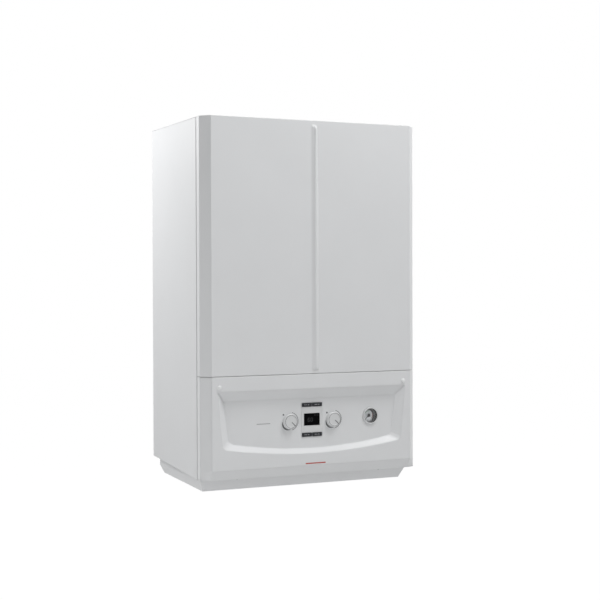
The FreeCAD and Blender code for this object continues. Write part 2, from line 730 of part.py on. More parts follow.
def display_bezel():
    """The raised frame round the display with openings for the four buttons."""
    half = BUTTON_WIDTH + BUTTON_SPLIT / 2 + BEZEL_MARGIN
    low = FOOT + LOW_BUTTON_HEIGHT - BUTTON_TALL / 2 - BEZEL_MARGIN
    high = FOOT + TOP_BUTTON_HEIGHT + BUTTON_TALL / 2 + BEZEL_MARGIN
    face = RECESS_FLOOR - BEZEL_THICK
    plate = rounded_plate(-half, half, low, high, face, RECESS_FLOOR, BEZEL_MARGIN)
    plate = plate.cut(display_box(FIT, face - 1, RECESS_FLOOR + 1))
    for x, z in button_places().values():
        plate = plate.cut(block(x - FIT, x + BUTTON_WIDTH + FIT, face - 1, RECESS_FLOOR + 1,
                                z - FIT, z + BUTTON_TALL + FIT))
    return plate


def push_button(x, z):
    """A soft rectangular button with its stem, standing proud of the bezel."""
    face = RECESS_FLOOR - BEZEL_THICK - BUTTON_RISE
    cap_back = RECESS_FLOOR - BUTTON_TRAVEL - FIT
    cap = rounded_plate(x, x + BUTTON_WIDTH, z, z + BUTTON_TALL, face, cap_back, BUTTON_ROUND)
    stem = block(x + BUTTON_ROUND, x + BUTTON_WIDTH - BUTTON_ROUND, cap_back, FLOOR_BACK,
                 z + BUTTON_ROUND, z + BUTTON_TALL - BUTTON_ROUND)
    return cap.fuse(stem)


def display_window():
    """The display: a dark window on a module that reaches the circuit board."""
    face = RECESS_FLOOR - BEZEL_THICK / 2
    return display_box(-FIT, face, FLOOR_BACK + BOARD_BEHIND_FLOOR)


def circuit_board():
    """The control board with its row of switches and relays."""
    y0 = FLOOR_BACK + BOARD_BEHIND_FLOOR
    inset = BOX_WALL + BOARD_MARGIN
    board = block(-BOX_HALF + inset, BOX_HALF - inset, y0, y0 + BOARD_THICK, FOOT + BOX_LOW + inset,
                  FOOT + BOX_HIGH - inset)
    low = FOOT + BOX_LOW + 2 * inset
    for i in range(5):
        x = -BOX_HALF + 3 * inset + i * 2 * RELAY
        board = board.fuse(block(x, x + 1.5 * RELAY, y0 - RELAY, y0, low, low + RELAY))
    return board.removeSplitter()


def control_box():
    """The moulded box behind the fascia with ribs that carry the board."""
    y0 = FLOOR_BACK
    y1 = FLOOR_BACK + BOX_DEEP
    z0 = FOOT + BOX_LOW
    z1 = FOOT + BOX_HIGH
    shell = block(-BOX_HALF, BOX_HALF, y0, y1, z0, z1)
    corners = [e for e in shell.Edges if e.BoundBox.YMin > y1 - 1 and e.BoundBox.YMax < y1 + 1]
    shell = shell.makeChamfer(BOX_WALL * 3, corners)
    hollow = block(-BOX_HALF + BOX_WALL, BOX_HALF - BOX_WALL, y0 - 1, y1 - BOX_WALL,
                   z0 + BOX_WALL, z1 - BOX_WALL)
    back = [e for e in hollow.Edges if e.BoundBox.YMin > y1 - BOX_WALL - 1]
    shell = shell.cut(hollow.makeChamfer(BOX_WALL * 2, back))
    board_back = FLOOR_BACK + BOARD_BEHIND_FLOOR + BOARD_THICK
    for x in (-BOX_HALF * 2 / 3, 0, BOX_HALF * 2 / 3):
        shell = shell.fuse(block(x, x + BOX_WALL, board_back, y1 - BOX_WALL / 2,
                                 z0 + BOX_WALL / 2, z1 - BOX_WALL / 2))
    return shell.removeSplitter()


def gauge_case():
    """The cup of the pressure gauge with its rim, dial floor and needle pivot."""
    rim = GAUGE_R + GAUGE_RIM
    barrel = GAUGE_R - FIT
    bore = barrel - GAUGE_WALL
    dial = GAUGE_DEEP - GAUGE_DIAL_SINK
    profile = [(0, 0), (barrel, 0), (barrel, GAUGE_DEEP), (rim, GAUGE_DEEP), (rim, GAUGE_DEEP + GAUGE_RIM / 2),
               (rim - 0.8, GAUGE_DEEP + GAUGE_RIM), (bore, GAUGE_DEEP + GAUGE_RIM), (bore, dial), (0, dial)]
    cup = turned(profile, gauge_centre(RECESS_FLOOR + GAUGE_DEEP), -BACK, KNOB_SIDES)
    pivot = rod(gauge_centre(RECESS_FLOOR + GAUGE_DIAL_SINK), -BACK, PIVOT_R, 1 + 2 * NEEDLE_THICK)
    return cup.fuse(pivot)


def gauge_lens():
    """The clear disc over the dial."""
    bore = GAUGE_R - FIT - GAUGE_WALL
    return bar(gauge_centre(RECESS_FLOOR), -BACK, bore, LENS_THICK, KNOB_SIDES)


def gauge_needle():
    """The pointer on its hub, set at the low end of the dial."""
    base_y = RECESS_FLOOR + GAUGE_DIAL_SINK - 1
    at = gauge_centre(base_y - RUNNING_FIT)
    hub = bar(at, -BACK, NEEDLE_HUB_R, NEEDLE_THICK)
    tip = GAUGE_R * 0.78
    blade = prism([V(2.4, 0, -1.1), V(tip, 0, -0.3), V(tip, 0, 0.3), V(2.4, 0, 1.1)], -BACK * NEEDLE_THICK)
    blade.rotate(V(0, 0, 0), -BACK, NEEDLE_ANGLE)
    blade.translate(at)
    return hub.fuse(blade).cut(rod(at + BACK, -BACK, PIVOT_R + RUNNING_FIT, 2 + NEEDLE_THICK))


def side_panel(side):
    """A painted side with front and rear flanges and a foot that rises to the wall."""
    x1 = HALF
    x0 = HALF - SHEET
    back = 0.0
    plan = [V(x1, SIDE_FRONT, FOOT), V(x1, back, FOOT), V(x1 - SIDE_FLANGE, back, FOOT),
            V(x1 - SIDE_FLANGE, back - SHEET, FOOT), V(x0, back - SHEET, FOOT),
            V(x0, SIDE_FRONT + SHEET, FOOT), V(x1 - SIDE_FLANGE, SIDE_FRONT + SHEET, FOOT),
            V(x1 - SIDE_FLANGE, SIDE_FRONT, FOOT)]
    panel = prism(plan, UP * (TOP - SHEET - FOOT))
    rise = [V(HALF - SIDE_FLANGE - 1, SIDE_FRONT, FOOT), V(HALF - SIDE_FLANGE - 1, back + 1, FOOT),
            V(HALF - SIDE_FLANGE - 1, back + 1, FOOT + SIDE_RISE_AT_WALL)]
    panel = panel.cut(prism(rise, RIGHT * (SIDE_FLANGE + 2)))
    if side < 0:
        return panel.mirror(V(0, 0, 0), RIGHT)
    return panel


def flue_hole(radius, z0, z1):
    """A cutter for the flue through the top."""
    return bar(V(FLUE_X, FLUE_Y, z0), UP, radius, z1 - z0, WIDE_SIDES)


def top_panel():
    """The top sheet with a folded front flange, hook slots, the flue hole and the cover catch."""
    flange = 2 * HOOK_DROP
    top = block(-HALF, HALF, SIDE_FRONT, 0, TOP - SHEET, TOP)
    inner = HALF - SIDE_FLANGE - FIT
    front = block(-inner, inner, SIDE_FRONT, SIDE_FRONT + SHEET, TOP - flange, TOP - SHEET)
    for x in hook_starts():
        front = front.cut(hook_slot(x, TOP - SHEET, -1, SIDE_FRONT - 1, SIDE_FRONT + SHEET + 1))
    catch = [V(CATCH_X - CATCH_WIDTH / 2, SIDE_FRONT, TOP),
             V(CATCH_X - CATCH_WIDTH / 2 + CATCH_RISE, SIDE_FRONT, TOP + CATCH_RISE),
             V(CATCH_X + CATCH_WIDTH / 2 - CATCH_RISE, SIDE_FRONT, TOP + CATCH_RISE),
             V(CATCH_X + CATCH_WIDTH / 2, SIDE_FRONT, TOP)]
    top = top.fuse(front).fuse(prism(catch, BACK * CATCH_LENGTH))
    return top.cut(flue_hole(FLUE_AIR_R + FLUE_WALL + FIT, TOP - 2 * SHEET, TOP + SHEET)).removeSplitter()


def back_panel():
    """The rear sheet with hooks folded over the wall rail."""
    low = FOOT + SIDE_RISE_AT_WALL + BASE_HEIGHT
    inner = HALF - SHEET
    sheet = block(-inner, inner, BACK_PANEL_FRONT, -BACK_PANEL_GAP, low, TOP - SHEET)
    seat = RAIL_SHELF + RAIL_LIP
    tongue_back = -BACK_PANEL_GAP + RAIL_STAND_OFF - RAIL_SHEET
    for x in (-HOOK_PLATE_SPREAD, HOOK_PLATE_SPREAD):
        x0 = x - HOOK_PLATE_WIDTH / 2
        profile = [V(x0, -BACK_PANEL_GAP, seat), V(x0, tongue_back, seat),
                   V(x0, tongue_back, seat - RAIL_LIP * 0.6), V(x0, tongue_back + SHEET, seat - RAIL_LIP * 0.6),
                   V(x0, tongue_back + SHEET, seat + SHEET), V(x0, -BACK_PANEL_GAP, seat + SHEET)]
        sheet = sheet.fuse(prism(profile, RIGHT * HOOK_PLATE_WIDTH))
    return sheet.removeSplitter()


def wall_bracket():
    """The wall rail: a folded steel strip with two slotted fixing holes."""
    x0 = -RAIL_LENGTH / 2
    lip_front = -RAIL_STAND_OFF - RAIL_SHEET
    profile = [V(x0, 0, -RAIL_FOOT), V(x0, 0, RAIL_SHELF), V(x0, lip_front + RAIL_SHEET, RAIL_SHELF),
               V(x0, lip_front + RAIL_SHEET, RAIL_SHELF + RAIL_LIP), V(x0, lip_front, RAIL_SHELF + RAIL_LIP),
               V(x0, lip_front, RAIL_SHELF - RAIL_SHEET), V(x0, -RAIL_SHEET, RAIL_SHELF - RAIL_SHEET),
               V(x0, -RAIL_SHEET, -RAIL_FOOT)]
    rail = prism(profile, RIGHT * RAIL_LENGTH)
    straight = FIXING_SLOT / 2 - FIXING_R
    for x in (-FIXING_SPREAD / 2, FIXING_SPREAD / 2):
        for end in (-straight, straight):
            rail = rail.cut(rod(V(x + end, -RAIL_SHEET - 1, 0), BACK, FIXING_R, RAIL_SHEET + 2))
        rail = rail.cut(block(x - straight, x + straight, -RAIL_SHEET - 1, 1, -FIXING_R, FIXING_R))
    return rail


def stub_places():
    """Centre of every pipe that passes through the base."""
    places = [V(GAS_PIPE_X, GAS_PIPE_Y, 0)]
    return places + [V(x, PIPE_Y, 0) for x in (PUMP_X, DIVERTER_X, COLD_X, HOT_X)]


def base_plate():
    """The chassis floor with pipe holes, a front flange and two folded hinge ears."""
    inner = HALF - SHEET
    plate = block(-inner, inner, BASE_FRONT - SHEET, -SHEET, BASE_UNDER, BASE_UNDER + SHEET)
    flange = block(-inner, inner, BASE_FRONT - SHEET, BASE_FRONT, BASE_UNDER + SHEET - BASE_FLANGE, BASE_UNDER)
    plate = plate.fuse(flange)
    for place in stub_places():
        plate = plate.cut(bar(V(place.x, place.y, BASE_UNDER - 1), UP, PIPE_R + FIT, SHEET + 2))
    plate = plate.cut(bar(V(TRAP_X, TRAP_Y, BASE_UNDER - 1), UP, TRAP_BARB_R + 2 * FIT, SHEET + 2))
    for side in (-1, 1):
        x0 = side * HINGE_SPREAD - HINGE_EAR_THICK / 2
        low = BASE_UNDER + SHEET - BASE_FLANGE
        arm = [V(x0, HINGE_Y, HINGE_Z + HINGE_EAR_R), V(x0, BASE_FRONT - SHEET, low + HINGE_ARM_TALL),
               V(x0, BASE_FRONT - SHEET, low), V(x0, HINGE_Y, HINGE_Z - HINGE_EAR_R)]
        ear = prism(arm, RIGHT * HINGE_EAR_THICK)
        ear = ear.fuse(bar(V(x0, HINGE_Y, HINGE_Z), RIGHT, HINGE_EAR_R, HINGE_EAR_THICK))
        ear = ear.cut(rod(V(x0 - 1, HINGE_Y, HINGE_Z), RIGHT, HINGE_PIN_R + RUNNING_FIT, HINGE_EAR_THICK + 2))
        plate = plate.fuse(ear)
    return plate.removeSplitter()


def skirt_form(inset, lift):
    """The tapering lower trim as a solid, set in by its wall."""
    side = HALF - SKIRT_INSET - inset
    foot_side = HALF - SKIRT_FOOT_INSET - inset
    front = BASE_FRONT + inset
    foot_front = BASE_FRONT + SKIRT_TAPER_BACK + inset
    rear = -SKIRT_REAR_GAP - inset
    foot_rear = rear - SKIRT_TAPER_BACK
    high = BASE_UNDER + lift
    low = FOOT - SKIRT_DROP - lift
    knee = FOOT
    rim = [(-side, front), (side, front), (side, rear), (-side, rear)]
    foot = [(-foot_side, foot_front), (foot_side, foot_front), (foot_side, foot_rear), (-foot_side, foot_rear)]
    upper = prism([V(x, y, knee) for x, y in rim], UP * (high - knee))
    share = (FOOT - low) / SKIRT_DROP
    lower_points = [V(a + (c - a) * share, b + (d - b) * share, low) for (a, b), (c, d) in zip(rim, foot)]
    return upper.fuse(frustum(outline([V(x, y, knee) for x, y in rim]), outline(lower_points)))


def lower_skirt():
    """The painted trim under the casing, open at the foot so that the pipes can be joined."""
    shell = skirt_form(0, 0).cut(skirt_form(SKIRT_SHEET, 1))
    wide = HALF
    low = FOOT - SKIRT_DROP
    wedge = [V(-wide, BASE_FRONT, low), V(-wide, 0, low), V(-wide, 0, FOOT - SKIRT_REAR_DROP)]
    return shell.cut(prism(wedge, RIGHT * CASING_WIDTH)).removeSplitter()


def crossbar():
    """The channel between the sides that carries the cover's foot and the panel's screws."""
    inner = HALF - SIDE_FLANGE - FIT
    z0 = COVER_FOOT
    y0 = SIDE_FRONT
    bar = block(-inner, inner, y0, y0 + CROSSBAR_DEEP, z0, z0 + CROSSBAR_TALL)
    bar = bar.cut(block(-inner - 1, inner + 1, y0 + SHEET, y0 + CROSSBAR_DEEP + 1,
                        z0 + SHEET, z0 + CROSSBAR_TALL - SHEET))
    tab_low = FOOT + SCREW_HEIGHT - SCREW_BOSS_R - 2
    for side in (-1, 1):
        x0 = side * SCREW_SPREAD - SCREW_TAB_WIDTH / 2
        bar = bar.fuse(block(x0, x0 + SCREW_TAB_WIDTH, y0, y0 + SHEET, tab_low, z0))
        foot_x = side * (HALF - SHEET)
        bar = bar.fuse(block(min(side * inner, foot_x), max(side * inner, foot_x), y0 + SHEET + FIT,
                             y0 + 2 * SHEET + FIT, z0, z0 + CROSSBAR_TALL))
        bar = bar.fuse(block(side * inner - SHEET, side * inner + SHEET, y0, y0 + 2 * SHEET + FIT,
                             z0, z0 + CROSSBAR_TALL).common(block(-inner, inner, y0, 0, z0, TOP)))
    for x in hook_starts():
        bar = bar.cut(hook_slot(x, COVER_FOOT + SHEET, 1, y0 - 1, y0 + SHEET + 1))
    return bar.removeSplitter()


def flue_socket():
    """The concentric flue socket under the top sheet: air outside, gas inside."""
    low = TOP - FLUE_SOCKET_DEEP
    at = V(FLUE_X, FLUE_Y, low)
    cup = tube(at, UP, FLUE_AIR_R + FLUE_WALL, FLUE_AIR_R, FLUE_SOCKET_DEEP)
    rim = V(FLUE_X, FLUE_Y, TOP - 3 * SHEET)
    cup = cup.fuse(tube(rim, UP, FLUE_AIR_R + 5 * FLUE_WALL, FLUE_AIR_R, 2 * SHEET))
    inner = bar(at, UP, FLUE_GAS_R + FLUE_WALL, FLUE_SOCKET_DEEP, WIDE_SIDES)
    for angle in (0, 120, 240):
        web = block(FLUE_GAS_R, FLUE_AIR_R + FLUE_WALL / 2, -FLUE_WALL / 2, FLUE_WALL / 2, 0, FLUE_WEB_TALL)
        web.rotate(V(0, 0, 0), UP, angle)
        web.translate(at)
        cup = cup.fuse(web)
    return cup.fuse(inner).cut(rod(at, UP, FLUE_GAS_R, FLUE_SOCKET_DEEP)).removeSplitter()


def flue_duct():
    """The exhaust pipe from the exchanger to the flue socket."""
    z0 = flue_seat()
    return tube(V(FLUE_X, FLUE_Y, z0), UP, FLUE_GAS_R + FLUE_WALL, FLUE_GAS_R - FLUE_WALL,
                TOP - FLUE_SOCKET_DEEP - z0)


def exchanger_profile():
    """Radius and distance pairs of the ribbed exchanger, from its front flange to its back."""
    low = EXCHANGER_R - EXCHANGER_RIB
    wide = 2 * EXCHANGER_RIB
    step = EXCHANGER_LONG / EXCHANGER_RIBS
    profile = [(0, 0), (EXCHANGER_R, 0), (EXCHANGER_R, wide), (low, wide)]
    for i in range(EXCHANGER_RIBS):
        start = (i + 0.5) * step - EXCHANGER_RIB
        profile += [(low, start), (EXCHANGER_R, start), (EXCHANGER_R, start + wide), (low, start + wide)]
    return profile + [(low, EXCHANGER_LONG), (0, EXCHANGER_LONG)]


def heat_exchanger():
    """The ribbed round body of the condensing exchanger with its pipe seats and feet."""
    body = turned(exchanger_profile(), V(EXCHANGER_X, EXCHANGER_FRONT, EXCHANGER_Z), BACK, WIDE_SIDES)
    inside = EXCHANGER_R / 2
    seat = FLUE_GAS_R + SEAT_WALL * 2
    low = EXCHANGER_Z + inside
    body = body.fuse(bar(V(FLUE_X, FLUE_Y, low), UP, seat, flue_seat() - low, ROUND_SIDES))
    body = body.fuse(bar(V(FLOW_INLET_X, PIPE_Y, low), UP, PIPE_R + SEAT_WALL, flow_seat() - low))
    high = EXCHANGER_Z - inside
    body = body.fuse(bar(V(PUMP_X, PIPE_Y, riser_seat()), UP, PIPE_R + SEAT_WALL, high - riser_seat()))
    body = body.fuse(bar(V(TRAP_X, TRAP_Y, hose_seat()), UP, HOSE_R + SEAT_WALL, high - hose_seat()))
    half = EXCHANGER_FOOT_WIDE / 2
    for side in (-1, 1):
        x = EXCHANGER_X + side * EXCHANGER_R * 0.6
        body = body.fuse(block(x - half, x + half, -EXCHANGER_FROM_WALL - half, BACK_PANEL_FRONT,
                               EXCHANGER_Z - EXCHANGER_FOOT_TALL / 2, EXCHANGER_Z + EXCHANGER_FOOT_TALL / 2))
    return body.removeSplitter()


def flue_seat():
    """Height of the exhaust pipe's seat on the exchanger."""
    return EXCHANGER_Z + EXCHANGER_R + FLUE_SEAT_RISE


def flow_seat():
    """Height of the flow pipe's seat on the exchanger."""
    return EXCHANGER_Z + EXCHANGER_R - FLOW_SEAT_SINK


def riser_seat():
    """Height of the pump riser's seat under the exchanger."""
    return EXCHANGER_Z - EXCHANGER_R - FLUE_SEAT_RISE


def hose_seat():
    """Height of the condensate hose's seat under the exchanger."""
    return EXCHANGER_Z - EXCHANGER_R + HOSE_SEAT_RISE


def burner_door():
    """The round burner door with a raised centre and clamping studs."""
    at = V(EXCHANGER_X, EXCHANGER_FRONT, EXCHANGER_Z)
    profile = [(0, 0), (DOOR_R, 0), (DOOR_R, DOOR_SKIN - 2), (DOOR_R - DOOR_BEVEL, DOOR_SKIN),
               (DOOR_BOSS_R + 4, DOOR_SKIN), (DOOR_BOSS_R, DOOR_THICK), (0, DOOR_THICK)]
    door = turned(profile, at, -BACK, WIDE_SIDES)
    for i in range(DOOR_BOLTS):
        angle = math.radians(360 * (i + 0.5) / DOOR_BOLTS)
        spot = at + V(math.cos(angle), 0, math.sin(angle)) * (DOOR_R - DOOR_INSET)
        door = door.fuse(bar(spot, -BACK, DOOR_STUD_R, DOOR_THICK - 1, DOOR_BOLTS))
    return door.removeSplitter()


def electrodes():
    """Two ceramic electrode holders on the burner door."""
    parts = []
    tip = ELECTRODE_R * 0.4
    long = ELECTRODE_LONG
    profile = [(0, 0), (2 * ELECTRODE_R, 0), (2 * ELECTRODE_R, 0.1 * long), (ELECTRODE_R, 0.1 * long),
               (ELECTRODE_R, 0.75 * long), (tip, 0.82 * long), (tip, long), (0, long)]
    for side in (-1, 1):
        at = V(EXCHANGER_X + side * ELECTRODE_SPREAD, EXCHANGER_FRONT - DOOR_SKIN, EXCHANGER_Z + DOOR_R * 0.62)
        parts.append(turned(profile, at, -BACK, SLIM_SIDES))
    return Part.makeCompound(parts)


def premix_elbow():
    """The cast elbow from the fan up to the burner door."""
    z0 = FAN_Z + FAN_R
    path = [V(EXCHANGER_X, FAN_Y, z0), V(EXCHANGER_X, FAN_Y, EXCHANGER_Z), V(EXCHANGER_X, DOOR_FRONT, EXCHANGER_Z)]
    elbow = bent_pipe(path, ELBOW_R, ELBOW_R + SEAT_WALL, ROUND_SIDES)
    half = ELBOW_R + ELBOW_FLANGE
    foot = block(EXCHANGER_X - half, EXCHANGER_X + half, FAN_FRONT, FAN_Y + ELBOW_R, z0, z0 + ELBOW_FOOT)
    neck = bar(V(EXCHANGER_X, DOOR_FRONT, EXCHANGER_Z), -BACK, DOOR_BOSS_R - 2, ELBOW_FOOT, ROUND_SIDES)
    return elbow.fuse(foot).fuse(neck).removeSplitter()


def fan_housing():
    """The scroll of the fan, hollow for its wheel, with an upward outlet."""
    at = V(EXCHANGER_X, FAN_FRONT, FAN_Z)
    drum = bar(at, BACK, FAN_R, FAN_DEEP, WIDE_SIDES)
    drum = drum.fuse(block(EXCHANGER_X - ELBOW_R - ELBOW_FLANGE, EXCHANGER_X + FAN_R, FAN_FRONT, FAN_BACK,
                           FAN_Z, FAN_Z + FAN_R))
    drum = drum.cut(bar(at + BACK * FAN_WALL, BACK, FAN_R - FAN_WALL, FAN_DEEP - 2 * FAN_WALL, WIDE_SIDES))
    drum = drum.cut(bar(at - BACK, BACK, VENTURI_BORE, FAN_WALL + 2, ROUND_SIDES))
    shaft_hole = rod(V(at.x, FAN_BACK - FAN_WALL - 1, at.z), BACK, WHEEL_SHAFT_R + RUNNING_FIT, FAN_WALL + 2)
    return drum.cut(shaft_hole).removeSplitter()


def fan_impeller():
    """The fan wheel: back plate, hub, blades and the shaft through the housing."""
    at = V(EXCHANGER_X, FAN_BACK - FAN_WALL - WHEEL_GAP, FAN_Z)
    wheel = bar(at, -BACK, WHEEL_R, WHEEL_PLATE, WIDE_SIDES)
    wheel = wheel.fuse(bar(at, -BACK, WHEEL_HUB_R, WHEEL_DEEP * 0.6))
    for i in range(WHEEL_BLADES):
        blade = block(2 * WHEEL_HUB_R, WHEEL_R - WHEEL_PLATE, -WHEEL_DEEP, -WHEEL_PLATE / 2, -BLADE / 2, BLADE / 2)
        blade.rotate(V(2 * WHEEL_HUB_R, 0, 0), BACK, 30)
        blade.rotate(V(0, 0, 0), BACK, 360 * i / WHEEL_BLADES)
        blade.translate(at)
        wheel = wheel.fuse(blade)
    shaft = rod(at, BACK, WHEEL_SHAFT_R, FAN_WALL + WHEEL_GAP + SHAFT_IN_MOTOR)
    return wheel.fuse(shaft).removeSplitter()


def fan_motor():
    """The stepped motor can behind the fan, bored for the wheel's shaft."""
    at = V(EXCHANGER_X, FAN_BACK, FAN_Z)
    profile = [(0, 0), (MOTOR_R, 0), (MOTOR_R, 1.5 * MOTOR_STEP), (MOTOR_R - MOTOR_STEP, 2 * MOTOR_STEP),
               (MOTOR_R - MOTOR_STEP, MOTOR_LONG - 2 * MOTOR_STEP), (MOTOR_R - 2.5 * MOTOR_STEP, MOTOR_LONG),
               (0, MOTOR_LONG)]
    bore = rod(at, BACK, WHEEL_SHAFT_R + RUNNING_FIT, 2 * SHAFT_IN_MOTOR)
    return turned(profile, at, BACK).cut(bore)


def venturi():
    """The bell-mouthed air and gas mixer on the fan's inlet."""
    at = V(EXCHANGER_X, FAN_FRONT, FAN_Z)
    neck = VENTURI_R - VENTURI_STEP
    profile = [(VENTURI_BORE, 0), (VENTURI_R, 0), (VENTURI_R, VENTURI_STEP), (neck, VENTURI_STEP + 1),
               (neck, VENTURI_LONG - VENTURI_STEP), (VENTURI_R, VENTURI_LONG), (VENTURI_R - 3, VENTURI_LONG),
               (VENTURI_BORE - VENTURI_STEP, VENTURI_LONG / 2)]
    body = turned(profile, at, -BACK)
    boss = bar(V(venturi_port(), GAS_TUBE_Y, FAN_Z), RIGHT, GAS_TUBE_R + 2, 2 * VENTURI_STEP + 1)
    return body.fuse(boss).removeSplitter()


def venturi_port():
    """X of the mixer's gas port."""
    return EXCHANGER_X - VENTURI_R - VENTURI_STEP


def gas_tube():
    """The tube from the gas valve up to the mixer."""
    path = [V(GAS_TUBE_X, GAS_TUBE_Y, GAS_VALVE_TOP), V(GAS_TUBE_X, GAS_TUBE_Y, FAN_Z),
            V(venturi_port(), GAS_TUBE_Y, FAN_Z)]
    return bent_pipe(path, GAS_TUBE_R, 2.4 * GAS_TUBE_R)


def gas_valve():
    """The cast gas valve with two coils and a seat for the tube."""
    x0 = GAS_VALVE_X - GAS_VALVE_WIDE / 2
    z0 = GAS_VALVE_TOP - GAS_VALVE_TALL
    face = GAS_VALVE_FRONT + GAS_VALVE_COIL
    body = block(x0, x0 + GAS_VALVE_WIDE, face, GAS_VALVE_BACK, z0, GAS_VALVE_TOP)
    upright = [e for e in body.Edges if abs(e.tangentAt(e.FirstParameter).z) > 0.9]
    body = body.makeChamfer(GAS_VALVE_COIL / 3, upright)
    for share in (0.24, 0.58):
        coil = V(GAS_VALVE_X + GAS_TUBE_OFFSET / 2, face, z0 + share * GAS_VALVE_TALL)
        body = body.fuse(bar(coil, -BACK, 0.75 * GAS_VALVE_COIL, GAS_VALVE_COIL - 1))
    sink = GAS_VALVE_COIL / 2
    seat = bar(V(GAS_TUBE_X, GAS_TUBE_Y, GAS_VALVE_TOP - sink), UP, GAS_TUBE_R + 4, sink)
    return body.fuse(seat).removeSplitter()


def threaded_end(pipe, x, y, thread):
    """Give a pipe its threaded free end under the base, bored for the water or gas."""
    end = V(x, y, STUB_FOOT)
    pipe = pipe.fuse(rod(end, UP, thread, THREAD_LONG))
    return pipe.cut(bar(end, UP, STUB_BORE, STUB_BORE_DEEP))


def stub(x, top, thread):
    """A straight pipe up from its threaded end under the base."""
    pipe = bar(V(x, PIPE_Y, STUB_FOOT), UP, PIPE_R, top - STUB_FOOT)
    return threaded_end(pipe, x, PIPE_Y, thread)


def gas_pipe():
    """The gas supply from the base up to the back of the gas valve."""
    z = GAS_VALVE_TOP - GAS_VALVE_TALL / 2
    path = [V(GAS_PIPE_X, GAS_PIPE_Y, STUB_FOOT), V(GAS_PIPE_X, GAS_PIPE_Y, z), V(GAS_PIPE_X, GAS_VALVE_BACK, z)]
    return threaded_end(bent_pipe(path, PIPE_R, PIPE_BEND), GAS_PIPE_X, GAS_PIPE_Y, WIDE_THREAD_R)


def pipe_nuts():
    """The hexagon nuts that hold the pipes to the base."""
    nuts = []
    for place in stub_places():
        foot = place + UP * (BASE_UNDER - NUT_TALL)
        hole = bar(foot - UP, UP, PIPE_R + RUNNING_FIT, NUT_TALL + 2)
        nuts.append(bar(foot, UP, NUT_R, NUT_TALL, 6).cut(hole))
    return Part.makeCompound(nuts)


def expansion_vessel():
    """The flat round expansion vessel against the back panel."""
    deep = VESSEL_DEEP
    mid = deep / 2
    profile = [(0, 0), (VESSEL_R * 0.72, 0), (VESSEL_R * 0.92, deep * 0.12), (VESSEL_R - VESSEL_RIM, mid - 8),
               (VESSEL_R, mid - 3), (VESSEL_R, mid + 3), (VESSEL_R - VESSEL_RIM, mid + 8),
               (VESSEL_R * 0.92, deep * 0.88), (VESSEL_R * 0.72, deep), (0, deep)]
    return turned(profile, V(VESSEL_X, BACK_PANEL_FRONT, VESSEL_Z), -BACK, WIDE_SIDES)


def pump():
    """The circulation pump: volute with upper and lower ports and the motor can."""
    profile = [(0, 0), (PUMP_R - PUMP_BEVEL, 0), (PUMP_R, PUMP_BEVEL), (PUMP_R, PUMP_DEEP - PUMP_BEVEL / 2),
               (PUMP_MOTOR_R, PUMP_DEEP), (PUMP_MOTOR_R, PUMP_LONG - PUMP_BEVEL),
               (PUMP_MOTOR_R - PUMP_BEVEL, PUMP_LONG), (0, PUMP_LONG)]
    body = turned(profile, V(PUMP_X, PUMP_BACK, PUMP_Z), -BACK)
    reach = PUMP_R + PUMP_PORT
    ports = bar(V(PUMP_X, PIPE_Y, PUMP_Z - reach), UP, PIPE_R + SEAT_WALL, 2 * reach)
    return body.fuse(ports).removeSplitter()


def pump_riser():
    """The pipe from the pump up to the exchanger."""
    z0 = PUMP_Z + PUMP_R + PUMP_PORT
    return bar(V(PUMP_X, PIPE_Y, z0), UP, PIPE_R, riser_seat() - z0)


def return_pipe():
    """The heating return from the base to the pump."""
    return stub(PUMP_X, PUMP_Z - PUMP_R - PUMP_PORT, WIDE_THREAD_R)


def flow_pipe():
    """The pipe from the top of the exchanger over and down to the diverter valve."""
    high = flow_seat() + FLOW_PIPE_RISE
    path = [V(FLOW_INLET_X, PIPE_Y, flow_seat()), V(FLOW_INLET_X, PIPE_Y, high),
            V(DIVERTER_X, PIPE_Y, high), V(DIVERTER_X, PIPE_Y, DIVERTER_TOP)]
    return bent_pipe(path, PIPE_R, PIPE_BEND)


def diverter_valve():
    """The three-way valve body with its side port."""
    middle = V(DIVERTER_X, PIPE_Y, DIVERTER_MID)
    body = bar(V(DIVERTER_X, PIPE_Y, DIVERTER_TOP - DIVERTER_TALL), UP, DIVERTER_R, DIVERTER_TALL, ROUND_SIDES)
    port = bar(middle, RIGHT, PIPE_R + SEAT_WALL, DIVERTER_R + DIVERTER_PORT)
    neck = bar(middle, -BACK, DIVERTER_R - SEAT_WALL, DIVERTER_R + DIVERTER_NECK)
    return body.fuse(port).fuse(neck).removeSplitter()


def diverter_actuator():
    """The motor head on the diverter valve."""
    half = ACTUATOR_WIDE / 2
    return rounded_plate(DIVERTER_X - half, DIVERTER_X + half, DIVERTER_MID - ACTUATOR_TALL / 2,
                         DIVERTER_MID + ACTUATOR_TALL / 2, ACTUATOR_FRONT, ACTUATOR_BACK, ACTUATOR_TALL / 8)


def heating_flow_pipe():
    """The heating flow from the diverter valve to the base."""
    return stub(DIVERTER_X, DIVERTER_TOP - DIVERTER_TALL, WIDE_THREAD_R)


def nozzle_places():
    """Places of the pipe nozzles under the tank."""
    return [V(COIL_FLOW_X, PIPE_Y, 0), V(COIL_RETURN_X, COIL_RETURN_Y, 0),
            V(COLD_X, PIPE_Y, 0), V(HOT_X, PIPE_Y, 0)]


